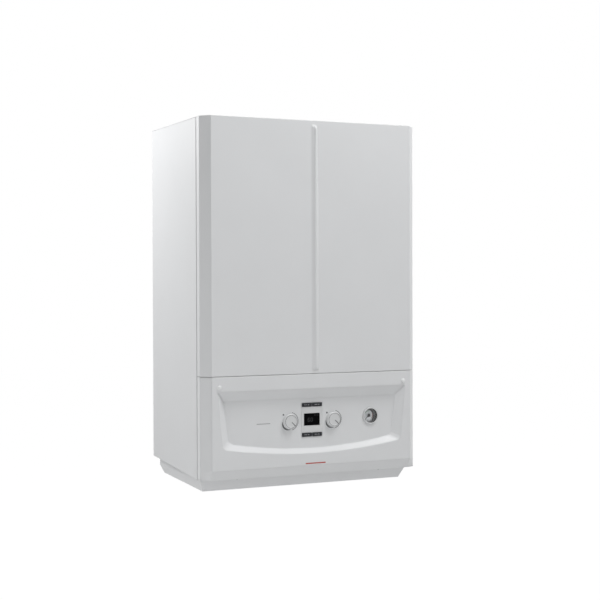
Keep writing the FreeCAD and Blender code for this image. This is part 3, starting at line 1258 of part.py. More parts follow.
def storage_tank():
    """The stainless tank with dished ends and nozzles underneath."""
    low = TANK_BOTTOM
    tall = TANK_TOP - TANK_BOTTOM
    knuckle = TANK_R * 0.8
    profile = [(0, 0), (knuckle, TANK_DISH * 0.35), (TANK_R, TANK_DISH), (TANK_R, tall - TANK_DISH),
               (knuckle, tall - TANK_DISH * 0.35), (0, tall)]
    tank = turned(profile, V(TANK_X, TANK_Y, low), UP, WIDE_SIDES)
    for place in nozzle_places():
        start = V(place.x, place.y, TANK_NOZZLE_FOOT)
        tank = tank.fuse(bar(start, UP, PIPE_R + SEAT_WALL, NOZZLE_DROP + TANK_DISH))
    return tank.removeSplitter()


def tank_straps():
    """Two steel bands that hold the tank to the back panel."""
    bands = []
    inner = TANK_R + FIT
    for z in (TANK_BOTTOM + STRAP_FROM_END, TANK_TOP - STRAP_FROM_END - STRAP_WIDTH):
        at = V(TANK_X, TANK_Y, z)
        band = tube(at, UP, inner + STRAP_THICK, inner, STRAP_WIDTH)
        for side in (-1, 1):
            x = TANK_X + side * TANK_R / 2
            leg = block(x - STRAP_WIDTH / 2, x + STRAP_WIDTH / 2, TANK_Y + TANK_R * 0.6, BACK_PANEL_FRONT,
                        z, z + STRAP_WIDTH)
            band = band.fuse(leg.cut(bar(at - UP, UP, inner, STRAP_WIDTH + 2, WIDE_SIDES)))
        bands.append(band.removeSplitter())
    return Part.makeCompound(bands)


def coil_flow_pipe():
    """The pipe from the diverter valve to the tank's coil."""
    path = [V(DIVERTER_X + DIVERTER_R + DIVERTER_PORT, PIPE_Y, DIVERTER_MID), V(COIL_FLOW_X, PIPE_Y, DIVERTER_MID),
            V(COIL_FLOW_X, PIPE_Y, TANK_NOZZLE_FOOT)]
    return bent_pipe(path, PIPE_R, PIPE_BEND)


def coil_return_pipe():
    """The pipe from the tank's coil back to the heating return."""
    z = FOOT + COIL_RETURN_HEIGHT
    side = PIPE_Y - PIPE_R
    path = [V(COIL_RETURN_X, COIL_RETURN_Y, TANK_NOZZLE_FOOT), V(COIL_RETURN_X, COIL_RETURN_Y, z),
            V(PUMP_X, COIL_RETURN_Y, z), V(PUMP_X, side, z)]
    return bent_pipe(path, PIPE_R, PIPE_BEND)


def water_stub(x):
    """A tap-water pipe from the base to the tank."""
    return stub(x, TANK_NOZZLE_FOOT, SLIM_THREAD_R)


def condensate_trap():
    """The moulded condensate trap with its drain spigot through the base."""
    low = TRAP_TOP - TRAP_TALL - STUB_FOOT
    high = TRAP_TOP - STUB_FOOT
    lid = TRAP_R + SEAT_WALL
    profile = [(0, THREAD_LONG / 2), (TRAP_SPIGOT_R, THREAD_LONG / 2), (TRAP_SPIGOT_R, low),
               (TRAP_R * 0.75, low), (TRAP_R, low + TRAP_LID), (TRAP_R, high - 2 * TRAP_LID),
               (lid, high - 2 * TRAP_LID), (lid, high - TRAP_LID), (HOSE_R + SEAT_WALL, high), (0, high)]
    at = V(TRAP_X, TRAP_Y, STUB_FOOT)
    trap = turned(profile, at, UP).fuse(rod(at, UP, TRAP_BARB_R, THREAD_LONG))
    return trap.cut(bar(at, UP, STUB_BORE, STUB_BORE_DEEP))


def condensate_hose():
    """The drain hose from the exchanger down to the trap."""
    return bar(V(TRAP_X, TRAP_Y, TRAP_TOP), UP, HOSE_R, hose_seat() - TRAP_TOP)


def safety_valve():
    """The pressure relief valve on the pump riser."""
    at = V(PUMP_X - PIPE_R, PIPE_Y, RELIEF_Z)
    neck = RELIEF_R - SEAT_WALL
    profile = [(0, 0), (neck, 0), (neck, RELIEF_STEM), (RELIEF_R, RELIEF_STEM),
               (RELIEF_R, RELIEF_LONG - RELIEF_STEM), (neck, RELIEF_LONG), (0, RELIEF_LONG)]
    stem = rod(at - RIGHT * RELIEF_LONG, -RIGHT, RELIEF_STEM_R, RELIEF_STEM)
    return turned(profile, at, -RIGHT).fuse(stem)


def safety_valve_knob():
    """The fluted test knob of the relief valve, running on its stem."""
    at = V(PUMP_X - PIPE_R - RELIEF_LONG - FIT, PIPE_Y, RELIEF_Z)
    corners = []
    for i, corner in enumerate(flats(at, -RIGHT, RELIEF_KNOB_R, 2 * SLIM_SIDES)):
        corners.append(corner if i % 4 < 2 else at + (corner - at) * RELIEF_FLUTE)
    body = prism(corners, -RIGHT * RELIEF_KNOB_DEEP)
    return body.cut(rod(at + RIGHT, -RIGHT, RELIEF_STEM_R + RUNNING_FIT, RELIEF_STEM + 2))


def filling_tap():
    """The filling tap under the base with its spindle."""
    body = bar(V(FILL_X, PIPE_Y, BASE_UNDER), -UP, FILL_R, FILL_BODY_TALL)
    port = bar(V(FILL_X, PIPE_Y, BASE_UNDER - FILL_BODY_TALL / 2), BACK, FILL_R - SEAT_WALL, FILL_R + FILL_PORT)
    stem = rod(V(FILL_X, PIPE_Y, BASE_UNDER - FILL_BODY_TALL), -UP, FILL_STEM_R, FILL_LEVER_TALL)
    return body.fuse(port).fuse(stem).removeSplitter()


def filling_tap_handle():
    """The lever of the filling tap, running on the spindle."""
    top = BASE_UNDER - FILL_BODY_TALL - FIT
    at = V(FILL_X, PIPE_Y, top)
    hub = bar(at, -UP, FILL_HUB_R, FILL_LEVER_TALL + SEAT_WALL)
    wing_top = top - SEAT_WALL
    near = 0.7 * FILL_HUB_R
    far = 0.9 * FILL_HUB_R
    tip = FILL_X + FILL_LEVER
    wing = [V(FILL_X, PIPE_Y - near, wing_top), V(tip, PIPE_Y - far, wing_top),
            V(tip, PIPE_Y + far, wing_top), V(FILL_X, PIPE_Y + near, wing_top)]
    lever = hub.fuse(prism(wing, -UP * (FILL_LEVER_TALL - SEAT_WALL)))
    return lever.cut(rod(at, -UP, FILL_STEM_R + RUNNING_FIT, FILL_LEVER_TALL)).removeSplitter()


def all_nodes():
    """Every piece of the boiler by name."""
    nodes = {
        "wall_bracket": wall_bracket(),
        "back_panel": back_panel(),
        "left_side_panel": side_panel(-1),
        "right_side_panel": side_panel(1),
        "top_panel": top_panel(),
        "base_plate": base_plate(),
        "lower_skirt": lower_skirt(),
        "crossbar": crossbar(),
        "flue_socket": flue_socket(),
        "flue_duct": flue_duct(),
        "heat_exchanger": heat_exchanger(),
        "burner_door": burner_door(),
        "electrodes": electrodes(),
        "premix_elbow": premix_elbow(),
        "fan_housing": fan_housing(),
        "fan_impeller": fan_impeller(),
        "fan_motor": fan_motor(),
        "venturi": venturi(),
        "gas_valve": gas_valve(),
        "gas_tube": gas_tube(),
        "gas_pipe": gas_pipe(),
        "pipe_nuts": pipe_nuts(),
        "expansion_vessel": expansion_vessel(),
        "pump": pump(),
        "pump_riser": pump_riser(),
        "return_pipe": return_pipe(),
        "flow_pipe": flow_pipe(),
        "diverter_valve": diverter_valve(),
        "diverter_actuator": diverter_actuator(),
        "heating_flow_pipe": heating_flow_pipe(),
        "storage_tank": storage_tank(),
        "tank_straps": tank_straps(),
        "coil_flow_pipe": coil_flow_pipe(),
        "coil_return_pipe": coil_return_pipe(),
        "cold_water_pipe": water_stub(COLD_X),
        "hot_water_pipe": water_stub(HOT_X),
        "condensate_trap": condensate_trap(),
        "condensate_hose": condensate_hose(),
        "safety_valve": safety_valve(),
        "safety_valve_knob": safety_valve_knob(),
        "filling_tap": filling_tap(),
        "filling_tap_handle": filling_tap_handle(),
        "front_cover": front_cover(),
        "cover_insulation": cover_insulation(),
        "fascia": fascia(),
        "screw_caps": screw_caps(),
        "control_box": control_box(),
        "circuit_board": circuit_board(),
        "display_bezel": display_bezel(),
        "display_window": display_window(),
        "gauge_case": gauge_case(),
        "gauge_lens": gauge_lens(),
        "gauge_needle": gauge_needle(),
    }
    for name, centre in zip(("left_knob", "right_knob"), knob_centres()):
        nodes[name] = knob(centre)
    for name, (x, z) in button_places().items():
        nodes[name] = push_button(x, z)
    return nodes


os.makedirs("parts", exist_ok=True)
for node_name, shape in all_nodes().items():
    shape.exportStep("parts/" + node_name + ".step")
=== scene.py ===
import json
import logging
import math
from dataclasses import dataclass
from enum import Enum

import bpy
import numpy as np
from mathutils import Euler, Matrix, Vector


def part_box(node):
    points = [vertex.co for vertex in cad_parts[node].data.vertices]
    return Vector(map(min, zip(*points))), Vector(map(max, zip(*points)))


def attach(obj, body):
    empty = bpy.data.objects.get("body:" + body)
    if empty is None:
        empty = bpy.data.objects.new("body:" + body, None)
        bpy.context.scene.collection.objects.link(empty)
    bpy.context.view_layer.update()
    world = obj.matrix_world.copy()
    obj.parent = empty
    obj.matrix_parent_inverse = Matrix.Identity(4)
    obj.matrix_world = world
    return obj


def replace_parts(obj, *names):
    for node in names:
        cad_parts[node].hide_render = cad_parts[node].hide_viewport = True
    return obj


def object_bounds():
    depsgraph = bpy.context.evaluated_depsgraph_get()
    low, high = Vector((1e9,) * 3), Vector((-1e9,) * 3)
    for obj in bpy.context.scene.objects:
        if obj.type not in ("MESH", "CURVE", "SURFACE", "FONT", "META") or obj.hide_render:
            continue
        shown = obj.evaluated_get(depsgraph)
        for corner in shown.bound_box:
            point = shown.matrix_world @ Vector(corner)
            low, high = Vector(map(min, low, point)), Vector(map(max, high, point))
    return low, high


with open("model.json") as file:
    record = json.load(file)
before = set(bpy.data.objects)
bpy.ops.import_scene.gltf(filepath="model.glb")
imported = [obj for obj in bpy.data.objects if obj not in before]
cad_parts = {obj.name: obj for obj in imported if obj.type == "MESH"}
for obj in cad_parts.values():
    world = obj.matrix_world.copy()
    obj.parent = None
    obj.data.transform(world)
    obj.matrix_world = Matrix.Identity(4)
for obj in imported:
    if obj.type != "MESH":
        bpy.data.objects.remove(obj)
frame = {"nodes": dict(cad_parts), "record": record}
CAD_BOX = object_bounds()

LOG = logging.getLogger("boiler")
MM = 0.001
FRONT = (0.0, -1.0, 0.0)
UP = (0.0, 0.0, 1.0)
WHITE = (1.0, 1.0, 1.0, 1.0)
Rgb = tuple[float, float, float]
Point = tuple[float, float, float]
Span = tuple[float, float]
Outline = list[tuple[float, float]]
Faces = list[list[int]]
Shape = tuple[np.ndarray, Faces]
Node = bpy.types.Node
Socket = bpy.types.NodeSocket
Rgba = tuple[float, float, float, float]


class Pattern(Enum):
    """Which noise changes a finish's tone."""

    BLOTCHED = "broad noise"
    BRUSHED = "fine noise drawn out along Z"
    SPECKLED = "fine noise"


@dataclass(frozen=True)
class Finish:
    """One surface finish. Colours are linear, sizes are in metres."""

    name: str
    colour: Rgb
    roughness: float
    metallic: float = 0.0
    pattern: Pattern = Pattern.BLOTCHED
    grain: float = 0.0012
    relief: float = 0.00004
    tone: float = 0.03
    rough_swing: float = 0.08
    edge: float = 0.0012
    wear: float = 0.0
    wear_colour: Rgb = (0.5, 0.5, 0.5)
    dust: float = 0.0
    coat: float = 0.0
    specular: float = 0.5
    transmission: float = 0.0


def printed(name: str, colour: Rgb, roughness: float = 0.5, tone: float = 0.05, grain: float = 0.0005) -> Finish:
    """The finish of a printed mark: even and without relief."""
    return Finish(name, colour, roughness, grain=grain, relief=0.0, tone=tone, edge=0.0002)


WHITE_PAINT = Finish("white_powder_coat", (0.80, 0.81, 0.82), 0.42, specular=0.3, grain=0.0016, relief=0.00003,
                     tone=0.012, edge=0.0025, wear=0.10, wear_colour=(0.62, 0.63, 0.64), dust=0.10)
WHITE_MOULDING = Finish("white_moulding", (0.80, 0.81, 0.82), 0.38, specular=0.35, grain=0.0009, relief=0.00002,
                        tone=0.010, edge=0.006, wear=0.06, wear_colour=(0.66, 0.67, 0.68), dust=0.08)
KNOB_WHITE = Finish("knob_white", (0.72, 0.73, 0.735), 0.34, grain=0.0006, relief=0.00001, tone=0.01, wear=0.08,
                    wear_colour=(0.6, 0.61, 0.62))
CAP_WHITE = Finish("cap_white", (0.86, 0.87, 0.875), 0.32, grain=0.0006, relief=0.00001, tone=0.01, edge=0.0008)
BUTTON_GREY = Finish("button_grey", (0.035, 0.037, 0.042), 0.5, specular=0.2, grain=0.0005, relief=0.00002, tone=0.05,
                     edge=0.0006, wear=0.15, wear_colour=(0.2, 0.2, 0.21))
BLACK_MOULDING = Finish("black_moulding", (0.022, 0.023, 0.025), 0.55, grain=0.0007, tone=0.10, wear=0.25,
                        wear_colour=(0.09, 0.09, 0.09), dust=0.15)
ZINC = Finish("zinc_sheet", (0.56, 0.58, 0.60), 0.38, metallic=0.9, grain=0.012, relief=0.00001, tone=0.16,
              rough_swing=0.16, edge=0.0008, wear=0.2, wear_colour=(0.72, 0.73, 0.74), dust=0.12)
STAINLESS = Finish("stainless", (0.62, 0.62, 0.61), 0.30, metallic=1.0, pattern=Pattern.BRUSHED, grain=0.004,
                   relief=0.00002, tone=0.10, rough_swing=0.12, edge=0.003, dust=0.08)
CAST_ALLOY = Finish("cast_alloy", (0.55, 0.56, 0.57), 0.45, metallic=0.9, grain=0.0022, relief=0.00008, tone=0.12,
                    edge=0.005, wear=0.25, wear_colour=(0.75, 0.75, 0.75), dust=0.12)
COPPER = Finish("copper_tube", (0.60, 0.26, 0.13), 0.28, metallic=1.0, grain=0.018, relief=0.00001, tone=0.22,
                rough_swing=0.2, edge=0.006)
BRASS = Finish("brass", (0.60, 0.42, 0.16), 0.30, metallic=1.0, grain=0.006, relief=0.00002, tone=0.14,
               rough_swing=0.15, edge=0.0008, wear=0.25, wear_colour=(0.8, 0.65, 0.35))
FLUE_WHITE = Finish("flue_white", (0.66, 0.66, 0.65), 0.45, grain=0.002, tone=0.04, edge=0.008, dust=0.1)
RED_ENAMEL = Finish("red_enamel", (0.36, 0.018, 0.014), 0.30, grain=0.003, relief=0.00005, tone=0.06, edge=0.012,
                    wear=0.2, wear_colour=(0.2, 0.02, 0.02), dust=0.18)
PUMP_BLACK = Finish("pump_black", (0.035, 0.037, 0.04), 0.5, grain=0.003, relief=0.0002, tone=0.15, edge=0.006,
                    wear=0.3, wear_colour=(0.2, 0.2, 0.2), dust=0.2)
RUBBER = Finish("hose_rubber", (0.03, 0.03, 0.03), 0.7, grain=0.001, relief=0.00005, tone=0.1, edge=0.005, dust=0.2)
CERAMIC = Finish("electrode_ceramic", (0.78, 0.76, 0.70), 0.22, grain=0.002, relief=0.00001, tone=0.05, coat=0.4)
FOAM = Finish("sound_foam", (0.075, 0.075, 0.08), 0.95, pattern=Pattern.SPECKLED, grain=0.0035, relief=0.0006,
              tone=0.35)
BOARD_GREEN = Finish("board_green", (0.012, 0.10, 0.045), 0.35, grain=0.001, relief=0.00002, tone=0.2, coat=0.3)
DISPLAY_BLACK = Finish("display_black", (0.003, 0.003, 0.0035), 0.35, grain=0.02, relief=0.0, tone=0.1, edge=0.0006,
                       rough_swing=0.04, specular=0.015)
GAUGE_BLACK = Finish("gauge_black", (0.03, 0.031, 0.033), 0.25, grain=0.001, relief=0.00001, tone=0.1, edge=0.0008)
DIAL_GREY = Finish("dial_grey", (0.80, 0.81, 0.82), 0.45, grain=0.0008, relief=0.0, edge=0.0003)
LENS = Finish("clear_lens", (0.95, 0.96, 0.97), 0.03, specular=0.15, transmission=1.0)
MARK_GREY = printed("mark_grey", (0.14, 0.143, 0.15), tone=0.06)
MARK_DARK = printed("mark_dark", (0.03, 0.03, 0.033), tone=0.06)
MARK_LIGHT = printed("mark_light", (0.55, 0.56, 0.57))
STRIPE_GREY = printed("stripe_grey", (0.33, 0.335, 0.345))
STRIPE_RED = printed("stripe_red", (0.46, 0.075, 0.05), 0.42, grain=0.0006)
DIAL_GREEN = printed("dial_green", (0.05, 0.25, 0.08))
SEGMENT = printed("segment_grey", (0.05, 0.052, 0.055), 0.4)

NODE_FINISHES: dict[Finish, str] = {
    WHITE_PAINT: "left_side_panel right_side_panel front_cover lower_skirt top_panel",
    WHITE_MOULDING: "fascia",
    CAP_WHITE: "screw_caps",
    KNOB_WHITE: "left_knob right_knob display_bezel",
    BUTTON_GREY: "top_left_button top_right_button lower_left_button lower_right_button",
    BLACK_MOULDING: "control_box diverter_actuator fan_motor safety_valve_knob filling_tap_handle condensate_trap",
    ZINC: "wall_bracket back_panel base_plate crossbar tank_straps",
    STAINLESS: "storage_tank heat_exchanger",
    CAST_ALLOY: "burner_door premix_elbow fan_housing fan_impeller venturi gas_valve",
    COPPER: ("gas_tube pump_riser return_pipe flow_pipe heating_flow_pipe coil_flow_pipe coil_return_pipe "
             "cold_water_pipe hot_water_pipe gas_pipe"),
    BRASS: "pipe_nuts diverter_valve safety_valve filling_tap",
    FLUE_WHITE: "flue_socket flue_duct",
    RED_ENAMEL: "expansion_vessel",
    PUMP_BLACK: "pump",
    RUBBER: "condensate_hose",
    CERAMIC: "electrodes",
    FOAM: "cover_insulation",
    BOARD_GREEN: "circuit_board",
    DISPLAY_BLACK: "display_window",
    GAUGE_BLACK: "gauge_case gauge_needle",
    LENS: "gauge_lens",
}


def rgba(colour: Rgb) -> Rgba:
    """A colour with full alpha."""
    return (*colour, 1.0)


@dataclass(frozen=True)
class Wires:
    """Adds nodes and links to one node tree."""

    tree: bpy.types.NodeTree

    COLOUR_INPUTS = (0, 6, 7)
    COLOUR_RESULT = 2

    def feed(self, node: Node, inputs: dict) -> None:
        """Fill a node's inputs.

        Args:
            node: the node.
            inputs: input name or number to the socket that is linked to it, or to its constant value.
        """
        for label, value in inputs.items():
            if isinstance(value, Socket):
                self.tree.links.new(value, node.inputs[label])
            else:
                node.inputs[label].default_value = value

    def node(self, kind: str, inputs: dict, group: bpy.types.NodeTree | None = None) -> Node:
        """Add a shader node.

        Args:
            kind: the node's type, without the leading ShaderNode.
            inputs: its inputs, as in feed.
            group: the shared group that a Group node places.

        Returns:
            The new node.
        """
        node = self.tree.nodes.new("ShaderNode" + kind)
        if group:
            node.node_tree = group
        self.feed(node, inputs)
        return node

    def maths(self, operation: str, first: Socket, second: Socket | float) -> Socket:
        """The result of a Math node.

        Args:
            operation: the node's operation.
            first: socket of the first value.
            second: socket of the second value, or the value itself.

        Returns:
            The result's socket.
        """
        node = self.node("Math", {0: first, 1: second})
        node.operation = operation
        return node.outputs[0]

    def ramp(self, value: Socket, side: str, limits: Span) -> Socket:
        """A value on a Map Range node, with limits on its From or To side and 0 to 1 on the other."""
        node = self.node("MapRange", {"Value": value, side + " Min": limits[0], side + " Max": limits[1]})
        return node.outputs["Result"]

    def blend(self, factor: Socket, first: Socket | Rgba, second: Rgba) -> Socket:
        """Mix two colours.

        Args:
            factor: socket with the share of the second colour.
            first: the first colour or its socket.
            second: the second colour.

        Returns:
            The mixed colour's socket.
        """
        node = self.node("Mix", {})
        node.data_type = "RGBA"
        self.feed(node, dict(zip(self.COLOUR_INPUTS, (factor, first, second))))
        return node.outputs[self.COLOUR_RESULT]

    def mix(self, factor: Socket, first: Node, second: Node) -> Node:
        """Mix two shaders by the second one's share."""
        return self.node("MixShader", {0: factor, 1: first.outputs[0], 2: second.outputs[0]})

    def surface(self, output: str, shader: Node) -> None:
        """Link a shader to the tree's output node, named by its label."""
        self.feed(self.tree.nodes[output], {"Surface": shader.outputs[0]})


class GroupMaker:
    """Makes the shader node groups that the finishes share."""

    EDGE_LEAN: Span = (0.995, 0.80)
    DUST_SLOPE: Span = (0.35, 1.0)
    NOISES = (("Fine", 1.0, 3.0), ("Broad", 0.011, 4.0))

    @staticmethod
    def start(name: str, inputs: dict[str, float | None], outputs: tuple[str, ...]) -> tuple:
        """Open a new shader group.

        Args:
            name: the group's name.
            inputs: name of each input to its default value, or to None for a vector.
            outputs: names of the value sockets that it gives.

        Returns:
            The group, its wires, its input sockets and its output node.
        """
        group = bpy.data.node_groups.new(name, "ShaderNodeTree")
        for label, value in inputs.items():
            kind = "NodeSocketVector" if value is None else "NodeSocketFloat"
            socket = group.interface.new_socket(name=label, in_out="INPUT", socket_type=kind)
            if value is not None:
                socket.default_value = value
        for label in outputs:
            group.interface.new_socket(name=label, in_out="OUTPUT", socket_type="NodeSocketFloat")
        given = group.nodes.new("NodeGroupInput").outputs
        return group, Wires(group), given, group.nodes.new("NodeGroupOutput")

    @classmethod
    def grain(cls) -> bpy.types.NodeTree:
        """Fine grain and slow blotches on a vector: fine noise for relief, broad noise for tone.

        Returns:
            The group.
        """
        group, wires, given, leave = cls.start("surface_grain", {"Vector": None, "Scale": 500.0}, ("Fine", "Broad"))
        for label, share, detail in cls.NOISES:
            scale = wires.maths("MULTIPLY", given["Scale"], share)
            noise = wires.node("TexNoise", {"Detail": detail, "Vector": given["Vector"], "Scale": scale})
            wires.feed(leave, {label: noise.outputs["Fac"]})
        return group

    @classmethod
    def edge(cls) -> bpy.types.NodeTree:
        """Edge mask: how far a rounded normal leans away from the true one, broken up by noise.

        Returns:
            The group.
        """
        group, wires, given, leave = cls.start("edge_wear", {"Rounded": None, "Fine": 0.5}, ("Mask",))
        true = wires.node("NewGeometry", {}).outputs["Normal"]
        lean = wires.node("VectorMath", {0: given["Rounded"], 1: true})
        lean.operation = "DOT_PRODUCT"
        sharp = wires.ramp(lean.outputs["Value"], "From", cls.EDGE_LEAN)
        wires.feed(leave, {"Mask": wires.maths("MULTIPLY", sharp, given["Fine"])})
        return group

    @classmethod
    def dust(cls) -> bpy.types.NodeTree:
        """Dust mask: faces that look up, broken up by the broad noise.

        Returns:
            The group.
        """
        group, wires, given, leave = cls.start("settled_dust", {"Broad": 0.5}, ("Mask",))
        split = wires.node("SeparateXYZ", {0: wires.node("NewGeometry", {}).outputs["Normal"]})
        upward = wires.ramp(split.outputs["Z"], "From", cls.DUST_SLOPE)
        wires.feed(leave, {"Mask": wires.maths("MULTIPLY", upward, given["Broad"])})
        return group


class PaintShop:
    """Turns finishes into materials and puts them on pieces."""

    DUST_COLOUR: Rgb = (0.45, 0.44, 0.42)
    STRETCH: dict[Pattern, Point] = {Pattern.BRUSHED: (1.0, 1.0, 0.03)}
    TONE_RANGE: Span = (0.3, 0.7)
    ROUGH_LIMITS: Span = (0.02, 1.0)
    COAT_ROUGHNESS = 0.08
    CLEAR_IOR = 1.45
    BEVEL_SAMPLES = 6

    def __init__(self) -> None:
        """Build the shared groups."""
        self.grain = GroupMaker.grain()
        self.edge = GroupMaker.edge()
        self.dust = GroupMaker.dust()
        self.made: dict[str, bpy.types.Material] = {}

    def material(self, finish: Finish) -> bpy.types.Material:
        """The material of a finish, made once.

        Args:
            finish: the finish to build.

        Returns:
            The material.
        """
        if finish.name not in self.made:
            material = bpy.data.materials.new(finish.name)
            material.use_nodes = True
            wire = self._wire_clear if finish.transmission > 0 else self._wire_solid
            wire(Wires(material.node_tree), material.node_tree.nodes["Principled BSDF"], finish)
            self.made[finish.name] = material
        return self.made[finish.name]

    def dress(self, piece: bpy.types.Object, finish: Finish) -> None:
        """Give a piece one finish all over."""
        piece.data.materials.clear()
        piece.data.materials.append(self.material(finish))

    def _wire_clear(self, wires: Wires, shader: Node, finish: Finish) -> None:
        """Wire a clear finish, which lets the lamps' light through.

        Args:
            wires: the material's wires.
            shader: its main shader.
            finish: the finish to build.
        """
        wires.feed(shader, {"Base Color": rgba(finish.colour), "Roughness": finish.roughness, "IOR": self.CLEAR_IOR,
                            "Specular IOR Level": finish.specular, "Transmission Weight": finish.transmission})
        shadow = wires.node("LightPath", {}).outputs["Is Shadow Ray"]
        wires.surface("Material Output", wires.mix(shadow, shader, wires.node("BsdfTransparent", {})))

    def _wire_solid(self, wires: Wires, shader: Node, finish: Finish) -> None:
        """Wire a solid finish: grain and blotches to colour, roughness and relief, then edges and dust.

        Args:
            wires: the material's wires.
            shader: its main shader.
            finish: the finish to build.
        """
        place = wires.node("TexCoord", {}).outputs["Object"]
        stretch = self.STRETCH.get(finish.pattern, (1.0, 1.0, 1.0))
        mapped = wires.node("Mapping", {"Vector": place, "Scale": stretch}).outputs["Vector"]
        grain = wires.node("Group", {"Vector": mapped, "Scale": 1.0 / finish.grain}, self.grain)
        fine, broad = grain.outputs["Fine"], grain.outputs["Broad"]
        toning = broad if finish.pattern is Pattern.BLOTCHED else fine
        dark, light = (rgba(tuple(min(1.0, c * (1 + tone)) for c in finish.colour))
                       for tone in (-finish.tone, finish.tone))
        colour = wires.blend(wires.ramp(toning, "From", self.TONE_RANGE), dark, light)
        rounded = wires.node("Bevel", {"Radius": finish.edge})
        rounded.samples = self.BEVEL_SAMPLES
        normal = rounded.outputs["Normal"]
        if finish.wear > 0:
            worn = wires.node("Group", {"Rounded": normal, "Fine": fine}, self.edge).outputs["Mask"]
            colour = wires.blend(wires.maths("MULTIPLY", worn, finish.wear), colour, rgba(finish.wear_colour))
        if finish.dust > 0:
            settled = wires.node("Group", {"Broad": broad}, self.dust).outputs["Mask"]
            colour = wires.blend(wires.maths("MULTIPLY", settled, finish.dust), colour, rgba(self.DUST_COLOUR))
        smoothest = max(self.ROUGH_LIMITS[0], finish.roughness - finish.rough_swing)
        roughest = min(self.ROUGH_LIMITS[1], finish.roughness + finish.rough_swing)
        rough = wires.ramp(broad, "To", (smoothest, roughest))
        bump = wires.node("Bump", {"Strength": 1.0, "Distance": finish.relief, "Height": fine, "Normal": normal})
        wires.feed(shader, {"Metallic": finish.metallic, "Coat Weight": finish.coat,
                            "Coat Roughness": self.COAT_ROUGHNESS, "Specular IOR Level": finish.specular,
                            "Base Color": colour, "Roughness": rough, "Normal": bump.outputs["Normal"]})


@dataclass(frozen=True)
class Label:
    """A piece's name, the body that carries it and its finish."""

    name: str
    body: str
    finish: Finish


